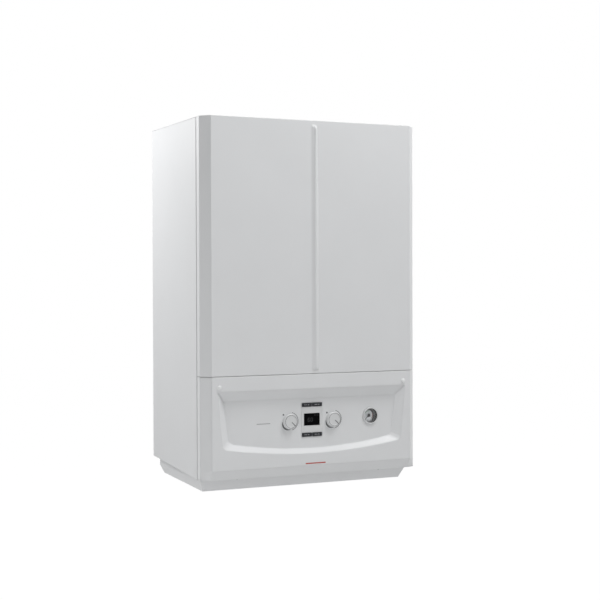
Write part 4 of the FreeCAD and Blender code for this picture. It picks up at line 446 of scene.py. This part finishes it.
class Bench:
    """Makes mesh pieces from numpy grids and hangs them on bodies."""

    CUBE = ((0, 1, 2, 3), (7, 6, 5, 4), (4, 5, 1, 0), (5, 6, 2, 1), (6, 7, 3, 2), (7, 4, 0, 3))
    CRISP = math.radians(35)

    def __init__(self, shop: PaintShop) -> None:
        """Keep the paint shop at hand."""
        self.shop = shop

    def piece(self, label: Label, points: np.ndarray, faces: Faces, smooth: bool = True) -> bpy.types.Object:
        """Make one piece and hang it on its body.

        Args:
            label: its name, body and finish.
            points: an array of n by 3 places in metres.
            faces: corner numbers of each face, outward by the right-hand rule.
            smooth: whether its faces are shaded round.

        Returns:
            The new object.
        """
        mesh = bpy.data.meshes.new(label.name)
        mesh.from_pydata(points.tolist(), [], faces)
        mesh.polygons.foreach_set("use_smooth", np.full(len(mesh.polygons), smooth))
        mesh.update()
        thing = bpy.data.objects.new(label.name, mesh)
        bpy.context.scene.collection.objects.link(thing)
        self.shop.dress(thing, label.finish)
        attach(thing, label.body)
        LOG.info("piece %s on %s, %d faces", label.name, label.body, len(faces))
        return thing

    @staticmethod
    def grid_faces(rows: int, columns: int) -> Faces:
        """Quads of a grid of points, wrapped round in the second direction.

        Args:
            rows: points in the first direction.
            columns: points in the second direction.

        Returns:
            The quads' corner numbers.
        """
        first = np.arange(rows - 1)[:, None] * columns
        here = np.arange(columns)[None, :]
        ahead = (here + 1) % columns
        quads = np.stack([first + here, first + ahead, first + columns + ahead, first + columns + here], axis=-1)
        return quads.reshape(-1, 4).tolist()

    @staticmethod
    def disc(radius: float, tall: float) -> Outline:
        """The profile of a plain round disc or post."""
        return [(0, 0), (radius, 0), (radius, tall), (0, tall)]

    @staticmethod
    def circles(profile: Outline, centre: Point, axis: Point, sides: int) -> np.ndarray:
        """Circles about an axis: each pair (radius r, height h) becomes c + h a + r (u cos t + v sin t).

        Args:
            profile: radius and height pairs in metres.
            centre: the axis at zero height.
            axis: the axis of turning.
            sides: corners of each circle.

        Returns:
            An array of pairs by sides by 3.
        """
        along = np.array(Vector(axis).normalized())
        across = np.array(Vector(axis).orthogonal().normalized())
        radii, heights = np.array(profile).T
        angle = np.linspace(0, 2 * math.pi, sides, endpoint=False)
        circle = np.cos(angle)[:, None] * across + np.sin(angle)[:, None] * np.cross(along, across)
        return np.array(centre) + heights[:, None, None] * along + radii[:, None, None] * circle

    @classmethod
    def lathe(cls, profile: Outline, centre: Point, axis: Point, sides: int) -> Shape:
        """The shape of a turned piece, by the formula of circles.

        Args:
            profile: radius and height pairs in metres, from the foot to the top, ending on the axis at both ends.
            centre: the foot's place on the axis.
            axis: the axis of turning.
            sides: corners round the axis.

        Returns:
            Its points and faces.
        """
        rings = cls.circles(profile[1:-1], centre, axis, sides)
        ends = cls.circles([profile[0], profile[-1]], centre, axis, 1)
        here = np.arange(sides)
        ahead = (here + 1) % sides
        foot = len(rings) * sides
        above = foot - sides
        faces = cls.grid_faces(len(rings), sides)
        faces += np.stack([np.full(sides, foot), ahead, here], axis=1).tolist()
        faces += np.stack([np.full(sides, foot + 1), above + here, above + ahead], axis=1).tolist()
        return np.concatenate([rings.reshape(-1, 3), ends.reshape(-1, 3)]), faces

    def assembly(self, label: Label, shapes: list[Shape]) -> bpy.types.Object:
        """One piece of several shapes, with crisp edges where faces meet sharply.

        Args:
            label: its name, body and finish.
            shapes: points and faces of each shape.

        Returns:
            The new object.
        """
        starts = np.cumsum([0] + [len(points) for points, _ in shapes]).tolist()
        faces = [[i + start for i in face] for start, (_, part) in zip(starts, shapes) for face in part]
        thing = self.piece(label, np.concatenate([points for points, _ in shapes]), faces)
        thing.data.set_sharp_from_angle(angle=self.CRISP)
        return thing

    def ring(self, label: Label, section: Outline, centre: Point, axis: Point, sides: int = 56) -> None:
        """A ring turned from a closed section, by the formula of circles.

        Args:
            label: its name, body and finish.
            section: radius and height pairs along the section's outline, up the bore and down the outside.
            centre: the axis at the section's zero height.
            axis: the axis of turning.
            sides: corners round the axis.
        """
        rings = self.circles(section, centre, axis, sides)
        faces = np.array(self.grid_faces(len(rings) + 1, sides)) % (len(rings) * sides)
        self.piece(label, rings.reshape(-1, 3), faces[:, ::-1].tolist())

    def sector(self, label: Label, centre: Point, inner: float | np.ndarray, outer: float | np.ndarray,
               angles: np.ndarray, rise: float) -> None:
        """A raised arc on a panel that faces the front.

        The grid runs along the angle t; its four corners at each t are (r cos t, 0, r sin t) for the inner and outer
        radius, on the panel and raised by the rise towards -Y.

        Args:
            label: its name, body and finish.
            centre: the arc's centre on the panel.
            inner: inner radius, one or one for each angle.
            outer: outer radius, one or one for each angle.
            angles: falling angles in radians, seen from the front, from +X towards +Z.
            rise: how far the arc stands out.
        """
        spoke = np.stack([np.cos(angles), np.zeros_like(angles), np.sin(angles)], axis=1)
        lift = np.array([0.0, -rise, 0.0])
        low_in, low_out = (spoke * np.broadcast_to(radius, angles.shape)[:, None] for radius in (inner, outer))
        corners = np.stack([low_in, low_in + lift, low_out + lift, low_out], axis=1)
        end = 4 * (len(angles) - 1)
        faces = self.grid_faces(len(angles), 4) + [[3, 2, 1, 0], [end, end + 1, end + 2, end + 3]]
        self.piece(label, np.array(centre) + corners.reshape(-1, 3), faces, smooth=False)

    def bars(self, label: Label, table: tuple | list, origin: Point, rise: float, lean: float = 0.0) -> None:
        """Flat bars on a panel that faces the front.

        The corners of each are its centre plus or minus half its size in (u, v), turned to X and Z by the lean.

        Args:
            label: its name, body and finish.
            table: centre u, centre v, length along u and width along v of each bar.
            origin: where u and v are zero, on the panel.
            rise: how far the bars stand out.
            lean: angle of u in radians, seen from the front, from +X towards +Z.
        """
        sizes = np.array(table)[:, None, :]
        signs = np.array([[-1, -1], [1, -1], [1, 1], [-1, 1]]) / 2
        turn = np.array([[math.cos(lean), 0.0, math.sin(lean)], [-math.sin(lean), 0.0, math.cos(lean)]])
        back = np.array(origin) + (sizes[..., :2] + signs * sizes[..., 2:]) @ turn
        points = np.concatenate([back - np.array([0.0, rise, 0.0]), back], axis=1).reshape(-1, 3)
        faces = np.array(self.CUBE) + 8 * np.arange(len(table))[:, None, None]
        self.piece(label, points, faces.reshape(-1, 4).tolist(), smooth=False)


@dataclass(frozen=True)
class Extent:
    """A node's box at rest."""

    low: Point
    high: Point

    @classmethod
    def of(cls, node: str) -> "Extent":
        """The box of a node."""
        return cls(*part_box(node))

    @property
    def centre(self) -> np.ndarray:
        """Its centre."""
        return (np.array(self.low) + np.array(self.high)) / 2

    @property
    def radius(self) -> float:
        """Half its width in X."""
        return (self.high[0] - self.low[0]) / 2


@dataclass
class ControlPanel:
    """The printed and small pieces of the control panel, with painted shadow round the knobs and on the gauge dial.
    Spans are in degrees, seen from the front, from +X to +Z.
    """

    bench: Bench
    ink: float = 0.00012
    bezel_thick: float = 0.0008
    steps: int = 48
    arc_gap: float = 0.0024
    arc_width: float = 0.0011
    arc_span: Span = (75, -75)
    # the knobs' crescents are painted shadow at their lower left, not a print
    shadow_crescent_gap: float = 0.0006
    shadow_crescent_width: float = 0.0042
    shadow_crescent_span: Span = (275, 180)
    shadow_crescent_tip: float = 0.02
    dot_radius: float = 0.0022
    dot_lean: float = 136.0
    dot_reach: float = 1.13
    pointer_lean: float = -45.0
    pointer_width: float = 0.0016
    pointer_depth: float = 0.0008
    pointer_shares: Span = (0.13, 0.80)
    face_share: float = 0.84
    line_width: float = 0.0009
    digit_tall: float = 0.0085
    digit_wide: float = 0.0048
    digit_drop: float = 0.001
    stroke: float = 0.0009
    stroke_share: float = 0.86
    dial_sink: float = 0.011
    dial_thick: float = 0.0003
    dial_gap: float = 0.0002
    dial_bore: float = 0.0026
    # the dial's dark band is painted shadow, not a print
    shade_band_width: float = 0.0066
    shade_band_margin: float = 0.0003
    zone_radii: Span = (0.0108, 0.0116)
    zone_steps: int = 24
    tick_span: Span = (225, -45)
    tick_half: float = 0.022
    tick_count: int = 17
    tick_group: int = 4
    ticks_off_shade_band: int = 4
    tick_outer: float = 0.0176
    tick_inner: Span = (0.0146, 0.0158)
    hub_radius: float = 0.0040
    hub_tall: float = 0.0012
    hub_round: float = 0.0004
    rim_bore_gap: float = 0.0006
    rim_case_gap: float = 0.00022
    rim_wall: float = 0.0003
    rim_rise: float = 0.0009
    rim_sink: float = 0.0001

    BODY = "control_panel"
    DOT_SIDES, DIAL_SIDES, HUB_SIDES = 24, 64, 32
    SEGMENTS = {"0": "abcdef", "6": "afgedc"}
    DIGITS = ((-0.0085, "6"), (-0.0005, "0"))
    SIGNS = ((0.0085, 0.0105, 0.0022, 0.0014), (0.0150, 0.0105, 0.0022, 0.0014))
    MARKS = ((-0.0055, 0.0, 0.003, 0.0011), (-0.001, 0.0, 0.0024, 0.0011), (0.0045, 0.0, 0.0034, 0.0011))
    # angles and widths of the dial's band of painted shadow
    SHADE_BAND_ANGLES = (-58, -30, 15, 60, 140, 172)
    SHADE_BAND_SHARES = (0.1, 0.8, 1.0, 0.75, 0.6, 0.1)
    ZONES = (("gauge_green_arc", DIAL_GREEN, (150, 70)), ("gauge_red_arc", STRIPE_RED, (20, -45)))
    RED_STRIPE = (0.003, 0.033, 0.056, 0.0030)
    GREY_STRIPE = (-0.134, 0.137, 0.037, 0.0016)

    def build(self) -> None:
        """Make every piece of the panel."""
        self.floor = Extent.of("display_bezel").low[1] + self.bezel_thick
        for side in ("left", "right"):
            self.knob_marks_and_shadow(side)
            self.pointer(side)
        self.display()
        self.button_marks()
        self.gauge()
        self.stripes()

    @staticmethod
    def sweep(span: Span, steps: int) -> np.ndarray:
        """Even angles in radians over a span in degrees."""
        return np.radians(np.linspace(*span, steps))

    def knob_marks_and_shadow(self, side: str) -> None:
        """A thin printed arc, a dot, and a swelling dark crescent of painted shadow round a knob's lower left.

        The crescent's width is w sin(pi k) for k from 0 to 1 along its arc.

        Args:
            side: left or right.
        """
        knob = Extent.of(side + "_knob")
        x, _, z = knob.centre
        radius = knob.radius + self.arc_gap
        arc, shadow_crescent, dot = (Label(f"{side}_knob_{name}", self.BODY, MARK_GREY) for name in ("arc", "shadow_crescent", "dot"))
        self.bench.sector(arc, (x, self.floor, z), radius, radius + self.arc_width,
                          self.sweep(self.arc_span, self.steps), self.ink)
        # painted shadow: a dark crescent where the knob stands off the panel
        inner = knob.radius + self.shadow_crescent_gap
        swell = np.sin(math.pi * np.linspace(self.shadow_crescent_tip, 1 - self.shadow_crescent_tip, self.steps))
        self.bench.sector(shadow_crescent, (x, self.floor, z), inner, inner + self.shadow_crescent_width * swell,
                          self.sweep(self.shadow_crescent_span, self.steps), self.ink)
        lean = math.radians(self.dot_lean)
        reach = self.dot_reach * radius
        spot = (x + reach * math.cos(lean), self.floor, z + reach * math.sin(lean))
        disc = self.bench.disc(self.dot_radius, self.ink)
        self.bench.piece(dot, *self.bench.lathe(disc, spot, FRONT, self.DOT_SIDES))

    def pointer(self, side: str) -> None:
        """The dark line on the floor of a knob's pointer groove and the thin ring round the knob's face.

        Args:
            side: left or right.
        """
        name = side + "_knob"
        knob = Extent.of(name)
        x, _, z = knob.centre
        near, far = (share * knob.radius for share in self.pointer_shares)
        self.bench.bars(Label(name + "_pointer", name, MARK_GREY),
                        [((near + far) / 2, 0.0, far - near, self.pointer_width)],
                        (x, knob.low[1] + self.pointer_depth, z), self.ink, math.radians(self.pointer_lean))
        outer = self.face_share * knob.radius
        inner = outer - self.line_width
        section = [(inner, 0.0), (inner, self.ink), (outer, self.ink), (outer, 0.0)]
        self.bench.ring(Label(name + "_line", name, MARK_GREY), section, (x, knob.low[1], z), FRONT)

    def display(self) -> None:
        """Two seven-segment digits and two small signs on the dark window."""
        window = Extent.of("display_window")
        x, _, z = window.centre
        tall, wide, stroke = self.digit_tall, self.digit_wide, self.stroke
        layout = {"a": (0, tall / 2, wide, stroke), "d": (0, -tall / 2, wide, stroke), "g": (0, 0, wide, stroke),
                  "b": (wide / 2, tall / 4, stroke, tall / 2), "c": (wide / 2, -tall / 4, stroke, tall / 2),
                  "f": (-wide / 2, tall / 4, stroke, tall / 2), "e": (-wide / 2, -tall / 4, stroke, tall / 2)}
        scale = np.array([1.0, 1.0, self.stroke_share, self.stroke_share])
        strokes = [layout[segment] * scale + (shift, -self.digit_drop, 0.0, 0.0)
                   for shift, digit in self.DIGITS for segment in self.SEGMENTS[digit]]
        self.bench.bars(Label("display_digits", self.BODY, SEGMENT), [*strokes, *self.SIGNS], (x, window.low[1], z),
                        self.ink)

    def button_marks(self) -> None:
        """Three short light bars on each button."""
        for name in NODE_FINISHES[BUTTON_GREY].split():
            button = Extent.of(name)
            x, _, z = button.centre
            self.bench.bars(Label(name + "_marks", name, MARK_LIGHT), self.MARKS, (x, button.low[1], z), self.ink)

    def gauge(self) -> None:
        """The rim, the dial disc with a dark band of painted shadow cast by the rim, coloured arcs and ticks, and the
        hub of the needle.
        """
        lens = Extent.of("gauge_lens")
        x, _, z = lens.centre
        radius = lens.radius - self.dial_gap
        self.gauge_rim(x, z, radius)
        dial, thick, bore = lens.high[1] + self.dial_sink, self.dial_thick, self.dial_bore
        profile = [(0, 0), (radius, 0), (radius, thick), (bore, thick), (bore, 0), (0, 0)]
        shape = self.bench.lathe(profile, (x, dial, z), FRONT, self.DIAL_SIDES)
        self.bench.piece(Label("gauge_dial", self.BODY, DIAL_GREY), *shape)
        # painted shadow: a dark band on the dial, widest at the right and over the top, where the rim's shadow falls
        angles = np.linspace(self.SHADE_BAND_ANGLES[-1], self.SHADE_BAND_ANGLES[0], self.steps)
        depth = self.shade_band_width * np.interp(angles, self.SHADE_BAND_ANGLES, self.SHADE_BAND_SHARES)
        outer = radius - self.shade_band_margin
        self.bench.sector(Label("gauge_painted_shade", self.BODY, MARK_DARK), (x, dial - thick, z), outer - depth, outer,
                          np.radians(angles), self.ink)
        face = (x, dial - thick - self.ink, z)
        for name, finish, span in self.ZONES:
            self.bench.sector(Label(name, self.BODY, finish), face, *self.zone_radii,
                              self.sweep(span, self.zone_steps), self.ink)
        for index, angle in enumerate(self.sweep(self.tick_span, self.tick_count)):
            inner = self.tick_inner[0 if index % self.tick_group == 0 else 1]
            finish = MARK_DARK if index < self.ticks_off_shade_band else MARK_GREY
            label = Label(f"gauge_tick_{index:02d}", self.BODY, finish)
            self.bench.sector(label, face, inner, self.tick_outer,
                              np.array([angle + self.tick_half, angle - self.tick_half]), self.ink)
        hub, tall, cut = self.hub_radius, self.hub_tall, self.hub_round
        profile = [(0, 0), (hub, 0), (hub, tall - cut), (hub - cut, tall), (0, tall)]
        shape = self.bench.lathe(profile, (x, Extent.of("gauge_needle").low[1], z), FRONT, self.HUB_SIDES)
        self.bench.piece(Label("gauge_hub", "gauge_needle", DISPLAY_BLACK), *shape)

    def gauge_rim(self, x: float, z: float, bore: float) -> None:
        """A rounded white rim over the gauge's flange, turned from a half-round section with a skirt down to the panel.

        Args:
            x: the gauge axis in X.
            z: the gauge axis in Z.
            bore: radius of the dial.
        """
        case = Extent.of("gauge_case")
        face = case.low[1]
        flange = case.radius + self.rim_case_gap
        outer = flange + self.rim_wall
        inner = bore + self.rim_bore_gap
        turn = np.linspace(0, math.pi, 9)
        skirt = face - self.floor + self.rim_sink
        radii = np.concatenate([(outer + inner) / 2 - (outer - inner) / 2 * np.cos(turn),
                                [outer, flange, flange, inner]])
        heights = np.concatenate([self.rim_rise * np.sin(turn), [skirt, skirt, -self.rim_sink, -self.rim_sink]])
        self.bench.ring(Label("gauge_rim", self.BODY, KNOB_WHITE), list(zip(radii, heights)), (x, face, z), FRONT)

    def stripes(self) -> None:
        """Two plain accent stripes: a red one low on the panel and a thin grey one at the left."""
        _, front, foot = Extent.of("fascia").low
        self.bench.bars(Label("red_stripe", self.BODY, STRIPE_RED), [self.RED_STRIPE], (0.0, front, foot), self.ink)
        self.bench.bars(Label("grey_stripe", self.BODY, STRIPE_GREY), [self.GREY_STRIPE], (0.0, self.floor, foot),
                        self.ink)


@dataclass
class FrontCover:
    """The rounded rib that stands on the front cover."""

    bench: Bench
    rib_right: float = 0.0125
    rib_half: float = 0.0080
    top_half: float = 0.0055
    top_right: float = 0.0100
    narrowing: float = 0.200
    rib_rise: float = 0.0048
    rib_end: float = 0.0120
    first_turn: float = 0.12
    bury: float = 0.0005
    solid_rise: float = 0.0022
    below_top: float = 0.0125
    above_seam: float = 0.0080

    BODY = "front_cover"

    def build(self) -> None:
        """The rib: a section r (1 - u u) across, carried up the cover and rounded off at both ends.

        Its height is scaled by the quarter circle sqrt(1 - (1 - s / e) squared) within the length e of each end, and
        it narrows along its upper stretch.
        """
        cover = Extent.of("front_cover")
        plane = cover.low[1] + self.solid_rise
        foot, top = cover.low[2] + self.above_seam, cover.high[2] - self.below_top
        stretch = [top - self.narrowing, top]
        steps = self.rib_end * (1 - np.cos(np.linspace(self.first_turn, math.pi / 2, 9)))
        rows = np.concatenate([foot + steps, stretch[:1], top - steps[::-1]])
        inset = np.minimum(rows - foot, top - rows)
        share = np.sqrt(1 - (1 - np.clip(inset / self.rib_end, 0, 1)) ** 2)
        half = np.interp(rows, stretch, [self.rib_half, self.top_half])
        right = np.interp(rows, stretch, [self.rib_right, self.top_right])
        across = np.linspace(-1, 1, 17)
        section = np.concatenate([across, [1.0, -1.0]])
        x = (right - half)[:, None] + half[:, None] * section
        rise = self.rib_rise * (1 - across ** 2)
        y = plane - np.concatenate([share[:, None] * rise, np.full((len(rows), 2), -self.bury)], axis=1)
        points = np.stack([x, y, np.broadcast_to(rows[:, None], y.shape)], axis=-1).reshape(-1, 3)
        count = len(section)
        faces = self.bench.grid_faces(len(rows), count)
        faces += [list(range(count))[::-1], list(range(len(points) - count, len(points)))]
        self.bench.piece(Label("cover_rib", self.BODY, WHITE_PAINT), points, faces)


@dataclass
class Works:
    """Pieces among the boiler's works: smooth shells, nuts, threads and seams."""

    bench: Bench
    fine_sides: int = 96
    post_sides: int = 32
    ring_sides: int = 40
    round_over: float = 0.0008
    thread_pitch: float = 0.0023
    thread_depth: float = 0.0005
    thread_margin: float = 0.0004
    thread_lift: float = 0.0001
    thread_wall: float = 0.0012
    tank_dish: float = 0.034
    nozzle_drop: float = 0.014
    nozzle_radius: float = 0.012
    bead: float = 0.0016
    bead_share: float = 0.6
    vessel_rim: float = 0.006
    vessel_flat: float = 0.72
    rim_half: float = 0.008
    rim_lip: float = 0.004
    rim_flat: float = 0.003
    rim_lean: float = 0.001
    door_boss: float = 0.004
    door_round: Span = (0.006, 0.004)
    boss_radii: Span = (0.044, 0.040)
    stud_radius: float = 0.007
    stud_sink: float = 0.001
    stud_inset: float = 0.009
    stud_count: int = 6
    stud_start: float = 30.0
    nut_sides: int = 6

    BODY = "chassis"
    THREADS = {"gas_pipe": "gas_connection", "return_pipe": "heating_return", "heating_flow_pipe": "heating_flow",
               "cold_water_pipe": "cold_water_inlet", "hot_water_pipe": "hot_water_outlet"}
    NOZZLES = ((0.060, -0.140), (0.108, -0.190), (0.150, -0.140), (0.205, -0.140))
    NUT = [(0, 0), (0.0065, 0), (0.0065, 0.005), (0.004, 0.0055), (0.003, 0.0055), (0.003, 0.010), (0, 0.0105)]
    QUARTER = np.linspace(0, math.pi / 2, 13)

    def build(self) -> None:
        """Make the pieces of the works."""
        for node, mount in self.THREADS.items():
            self.thread(node, mount)
        self.tank()
        self.tank_seams()
        self.vessel()
        self.door()
        self.door_nuts()

    def thread(self, node: str, mount: str) -> None:
        """Turned thread ridges over a pipe's free end: radius R + d |saw(h / pitch)|.

        Args:
            node: the pipe's node.
            mount: the mount at its free end.
        """
        details = next(m for m in frame["record"]["mounts"] if m["name"] == mount)
        radius = details["dims"]["r_mm"] * MM
        length = details["dims"]["length_mm"] * MM
        x, y, _ = details["pos_m"]
        count = 2 * int(length / self.thread_pitch) + 1
        heights = np.linspace(self.thread_margin, length - self.thread_margin, count)
        radii = radius + self.thread_lift + self.thread_depth * (np.arange(count) % 2)
        inner = radius - self.thread_wall
        section = [(inner, heights[-1]), *zip(radii[::-1], heights[::-1]), (inner, heights[0])]
        self.bench.ring(Label(node + "_thread", self.BODY, BRASS), section, (x, y, Extent.of(node).low[2]), UP,
                        self.ring_sides)

    def tank(self) -> None:
        """The tank's smooth shell with its nozzles: dished ends r = R sin t, h = d (1 - cos t), straight between."""
        box = Extent.of("storage_tank")
        x, y, _ = box.centre
        foot = box.low[2] + self.nozzle_drop
        tall = box.high[2] - foot
        end = np.stack([(box.radius + self.round_over) * np.sin(self.QUARTER),
                        self.tank_dish * (1 - np.cos(self.QUARTER))], axis=1)
        profile = end.tolist() + [(r, tall - h) for r, h in end[::-1].tolist()]
        nozzle = self.bench.disc(self.nozzle_radius, self.nozzle_drop + self.tank_dish)
        shapes = [self.bench.lathe(profile, (x, y, foot), UP, self.fine_sides)]
        shapes += [self.bench.lathe(nozzle, (*place, box.low[2]), UP, self.post_sides) for place in self.NOZZLES]
        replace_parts(self.bench.assembly(Label("tank_shell", self.BODY, STAINLESS), shapes), "storage_tank")

    def tank_seams(self) -> None:
        """Rounded weld beads where the tank's ends meet its shell."""
        box = Extent.of("storage_tank")
        x, y, _ = box.centre
        turn = np.linspace(0, 2 * math.pi, 10, endpoint=False)[::-1]
        radii = box.radius + self.round_over + self.bead_share * self.bead * np.cos(turn)
        section = list(zip(radii, self.bead * np.sin(turn)))
        lower = box.low[2] + self.nozzle_drop + self.tank_dish
        for name, z in (("lower", lower), ("upper", box.high[2] - self.tank_dish)):
            self.bench.ring(Label(f"tank_{name}_seam", self.BODY, STAINLESS), section, (x, y, z), UP, self.ring_sides)

    def vessel(self) -> None:
        """The expansion vessel's two pressed halves with the rolled rim between: r by the sine, h by the cosine."""
        box = Extent.of("expansion_vessel")
        x, _, z = box.centre
        radius = box.radius + self.round_over
        deep = box.high[1] - box.low[1]
        bowl = radius - self.vessel_rim
        edge = deep / 2 - self.rim_half
        radii = bowl * (self.vessel_flat + (1 - self.vessel_flat) * np.sin(self.QUARTER))
        half = [(0.0, 0.0), *zip(radii.tolist(), (edge * (1 - np.cos(self.QUARTER))).tolist())]
        half += [(radius - self.rim_lean, edge + self.rim_lip), (radius, deep / 2 - self.rim_flat)]
        profile = half + [(r, deep - h) for r, h in reversed(half)]
        shape = self.bench.lathe(profile, (x, box.high[1], z), FRONT, self.fine_sides)
        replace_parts(self.bench.assembly(Label("vessel_shell", self.BODY, RED_ENAMEL), [shape]), "expansion_vessel")

    def door(self) -> None:
        """The burner door: a turned plate with a rounded rim and a raised centre, and its six studs."""
        box = Extent.of("burner_door")
        x, _, z = box.centre
        back = box.high[1]
        radius = box.radius + self.round_over
        thick = back - box.low[1]
        skin = thick - self.door_boss
        wide, tall = self.door_round
        turn = np.linspace(0, math.pi / 2, 7)
        rim = zip((radius - wide + wide * np.cos(turn)).tolist(), (skin - tall + tall * np.sin(turn)).tolist())
        profile = [(0, 0), (radius, 0), *rim, (self.boss_radii[0], skin), (self.boss_radii[1], thick), (0, thick)]
        stud = self.bench.disc(self.stud_radius, thick - self.stud_sink)
        shapes = [self.bench.lathe(profile, (x, back, z), FRONT, self.fine_sides)]
        shapes += [self.bench.lathe(stud, (sx, back, sz), FRONT, self.post_sides) for sx, sz in self.stud_places()]
        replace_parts(self.bench.assembly(Label("door_plate", self.BODY, CAST_ALLOY), shapes), "burner_door")

    def stud_places(self) -> Outline:
        """X and Z of the burner door's studs.

        Returns:
            The pairs.
        """
        box = Extent.of("burner_door")
        x, _, z = box.centre
        reach = box.radius - self.stud_inset
        angles = np.radians(self.stud_start + 360 / self.stud_count * np.arange(self.stud_count))
        return list(zip((x + reach * np.cos(angles)).tolist(), (z + reach * np.sin(angles)).tolist()))

    def door_nuts(self) -> None:
        """Six-sided nuts on the burner door's studs."""
        face = Extent.of("burner_door").low[1] + self.stud_sink
        for index, (x, z) in enumerate(self.stud_places()):
            shape = self.bench.lathe(self.NUT, (x, face, z), FRONT, self.nut_sides)
            self.bench.piece(Label(f"door_nut_{index}", self.BODY, BRASS), *shape, smooth=False)


@dataclass
class Studio:
    """Floor, lamps, backdrop colour and the camera of the photograph."""

    lens: float = 77.6207
    sensor: float = 36.0
    place: Point = (-1.4179, -3.3299, -0.3263)
    yaw: float = 25.0446
    pitch: float = -0.813
    roll: float = -0.1683
    ambient: float = 0.238
    floor_drop: float = 0.55
    floor_reach: float = 12.0
    floor_tone: float = 0.9
    floor_glow: float = 1.062
    floor_share: float = 0.92

    FACE = (0.1, -0.38, -0.3)
    LAMPS = (
        ("left_rear_softbox", (-1.0, 0.45, 0.35), (-0.3, -0.2, 0.1), 0.5, 7.7),
        ("high_softbox", (0.6, -1.0, 1.8), FACE, 0.8, 24.1),
        ("far_right_softbox", (2.2, -2.0, 2.6), FACE, 1.6, 47.9),
        ("front_right_softbox", (1.3, -1.6, 0.9), FACE, 1.0, 1.4),
        ("left_front_softbox", (-2.6, -2.2, 0.3), (-0.2, -0.38, -0.4), 2.0, 10.0),
        ("low_left_softbox", (-1.8, -1.2, -1.0), (-0.3, -0.3, -0.6), 1.2, 4.4),
    )

    def build(self) -> None:
        """Set the stage."""
        self.camera()
        self.world()
        self.floor()
        for lamp in self.LAMPS:
            self.lamp(*lamp)
        bpy.context.scene.view_settings.view_transform = "Standard"

    def camera(self) -> None:
        """The camera at the photograph's viewpoint."""
        data = bpy.data.cameras.new("photo_camera")
        data.lens = self.lens
        data.sensor_width = self.sensor
        camera = bpy.data.objects.new("photo_camera", data)
        camera.location = self.place
        aim = Euler((math.radians(90 + self.pitch), 0.0, -math.radians(self.yaw)), "XYZ").to_matrix()
        camera.rotation_euler = (aim @ Matrix.Rotation(math.radians(self.roll), 3, "Z")).to_euler()
        bpy.context.scene.collection.objects.link(camera)
        bpy.context.scene.camera = camera

    @staticmethod
    def background_rays(wires: Wires) -> Socket:
        """A value that is 1 on camera, glossy and transmission rays.

        Args:
            wires: where to add it.

        Returns:
            The value's socket.
        """
        path = wires.node("LightPath", {}).outputs
        seen = wires.maths("MAXIMUM", path["Is Camera Ray"], path["Is Glossy Ray"])
        return wires.maths("MAXIMUM", seen, path["Is Transmission Ray"])

    def world(self) -> None:
        """White backdrop for the camera, a soft grey sky for the light."""
        world = bpy.data.worlds.new("studio_world")
        bpy.context.scene.world = world
        world.use_nodes = True
        wires = Wires(world.node_tree)
        sky = world.node_tree.nodes["Background"]
        wires.feed(sky, {"Color": WHITE, "Strength": self.ambient})
        backdrop = wires.node("Background", {"Color": WHITE, "Strength": 1.0})
        wires.surface("World Output", wires.mix(self.background_rays(wires), sky, backdrop))

    def floor(self) -> None:
        """A pale floor below the boiler that keeps a faint shadow and is clear from below."""
        low = CAD_BOX[0][2] - self.floor_drop
        reach = self.floor_reach
        mesh = bpy.data.meshes.new("floor")
        corners = [(-reach, -reach, low), (reach, -reach, low), (reach, reach, low), (-reach, reach, low)]
        mesh.from_pydata(corners, [], [(0, 1, 2, 3)])
        floor = bpy.data.objects.new("floor", mesh)
        bpy.context.scene.collection.objects.link(floor)
        material = bpy.data.materials.new("pale_floor")
        material.use_nodes = True
        wires = Wires(material.node_tree)
        shader = material.node_tree.nodes["Principled BSDF"]
        tone = self.floor_tone
        wires.feed(shader, {"Base Color": (tone, tone, tone, 1.0), "Roughness": 0.9})
        glow = wires.node("Emission", {"Strength": self.floor_glow})
        share = wires.maths("MULTIPLY", self.background_rays(wires), self.floor_share)
        below = wires.node("NewGeometry", {}).outputs["Backfacing"]
        wires.surface("Material Output", wires.mix(below, wires.mix(share, shader, glow),
                                                   wires.node("BsdfTransparent", {})))
        mesh.materials.append(material)

    @staticmethod
    def lamp(name: str, place: Point, target: Point, size: float, power: float) -> None:
        """A square softbox aimed at a point.

        Args:
            name: the lamp's name.
            place: where it stands.
            target: what it points at.
            size: its edge length.
            power: its power in watts.
        """
        data = bpy.data.lights.new(name, "AREA")
        data.size = size
        data.energy = power
        lamp = bpy.data.objects.new(name, data)
        lamp.visible_camera = False
        lamp.location = place
        lamp.rotation_euler = (Vector(target) - Vector(place)).to_track_quat("-Z", "Y").to_euler()
        bpy.context.scene.collection.objects.link(lamp)


def dress_nodes(shop: PaintShop) -> None:
    """Give every CAD node its finish.

    Args:
        shop: the paint shop.
    """
    for finish, names in NODE_FINISHES.items():
        for name in names.split():
            shop.dress(frame["nodes"][name], finish)
            LOG.info("node %s in %s", name, finish.name)


def main() -> None:
    """Build the dressed boiler in order."""
    logging.basicConfig(level=logging.INFO, format="%(name)s: %(message)s")
    shop = PaintShop()
    bench = Bench(shop)
    dress_nodes(shop)
    ControlPanel(bench).build()
    FrontCover(bench).build()
    Works(bench).build()
    Studio().build()


if __name__ == "__main__":
    main()
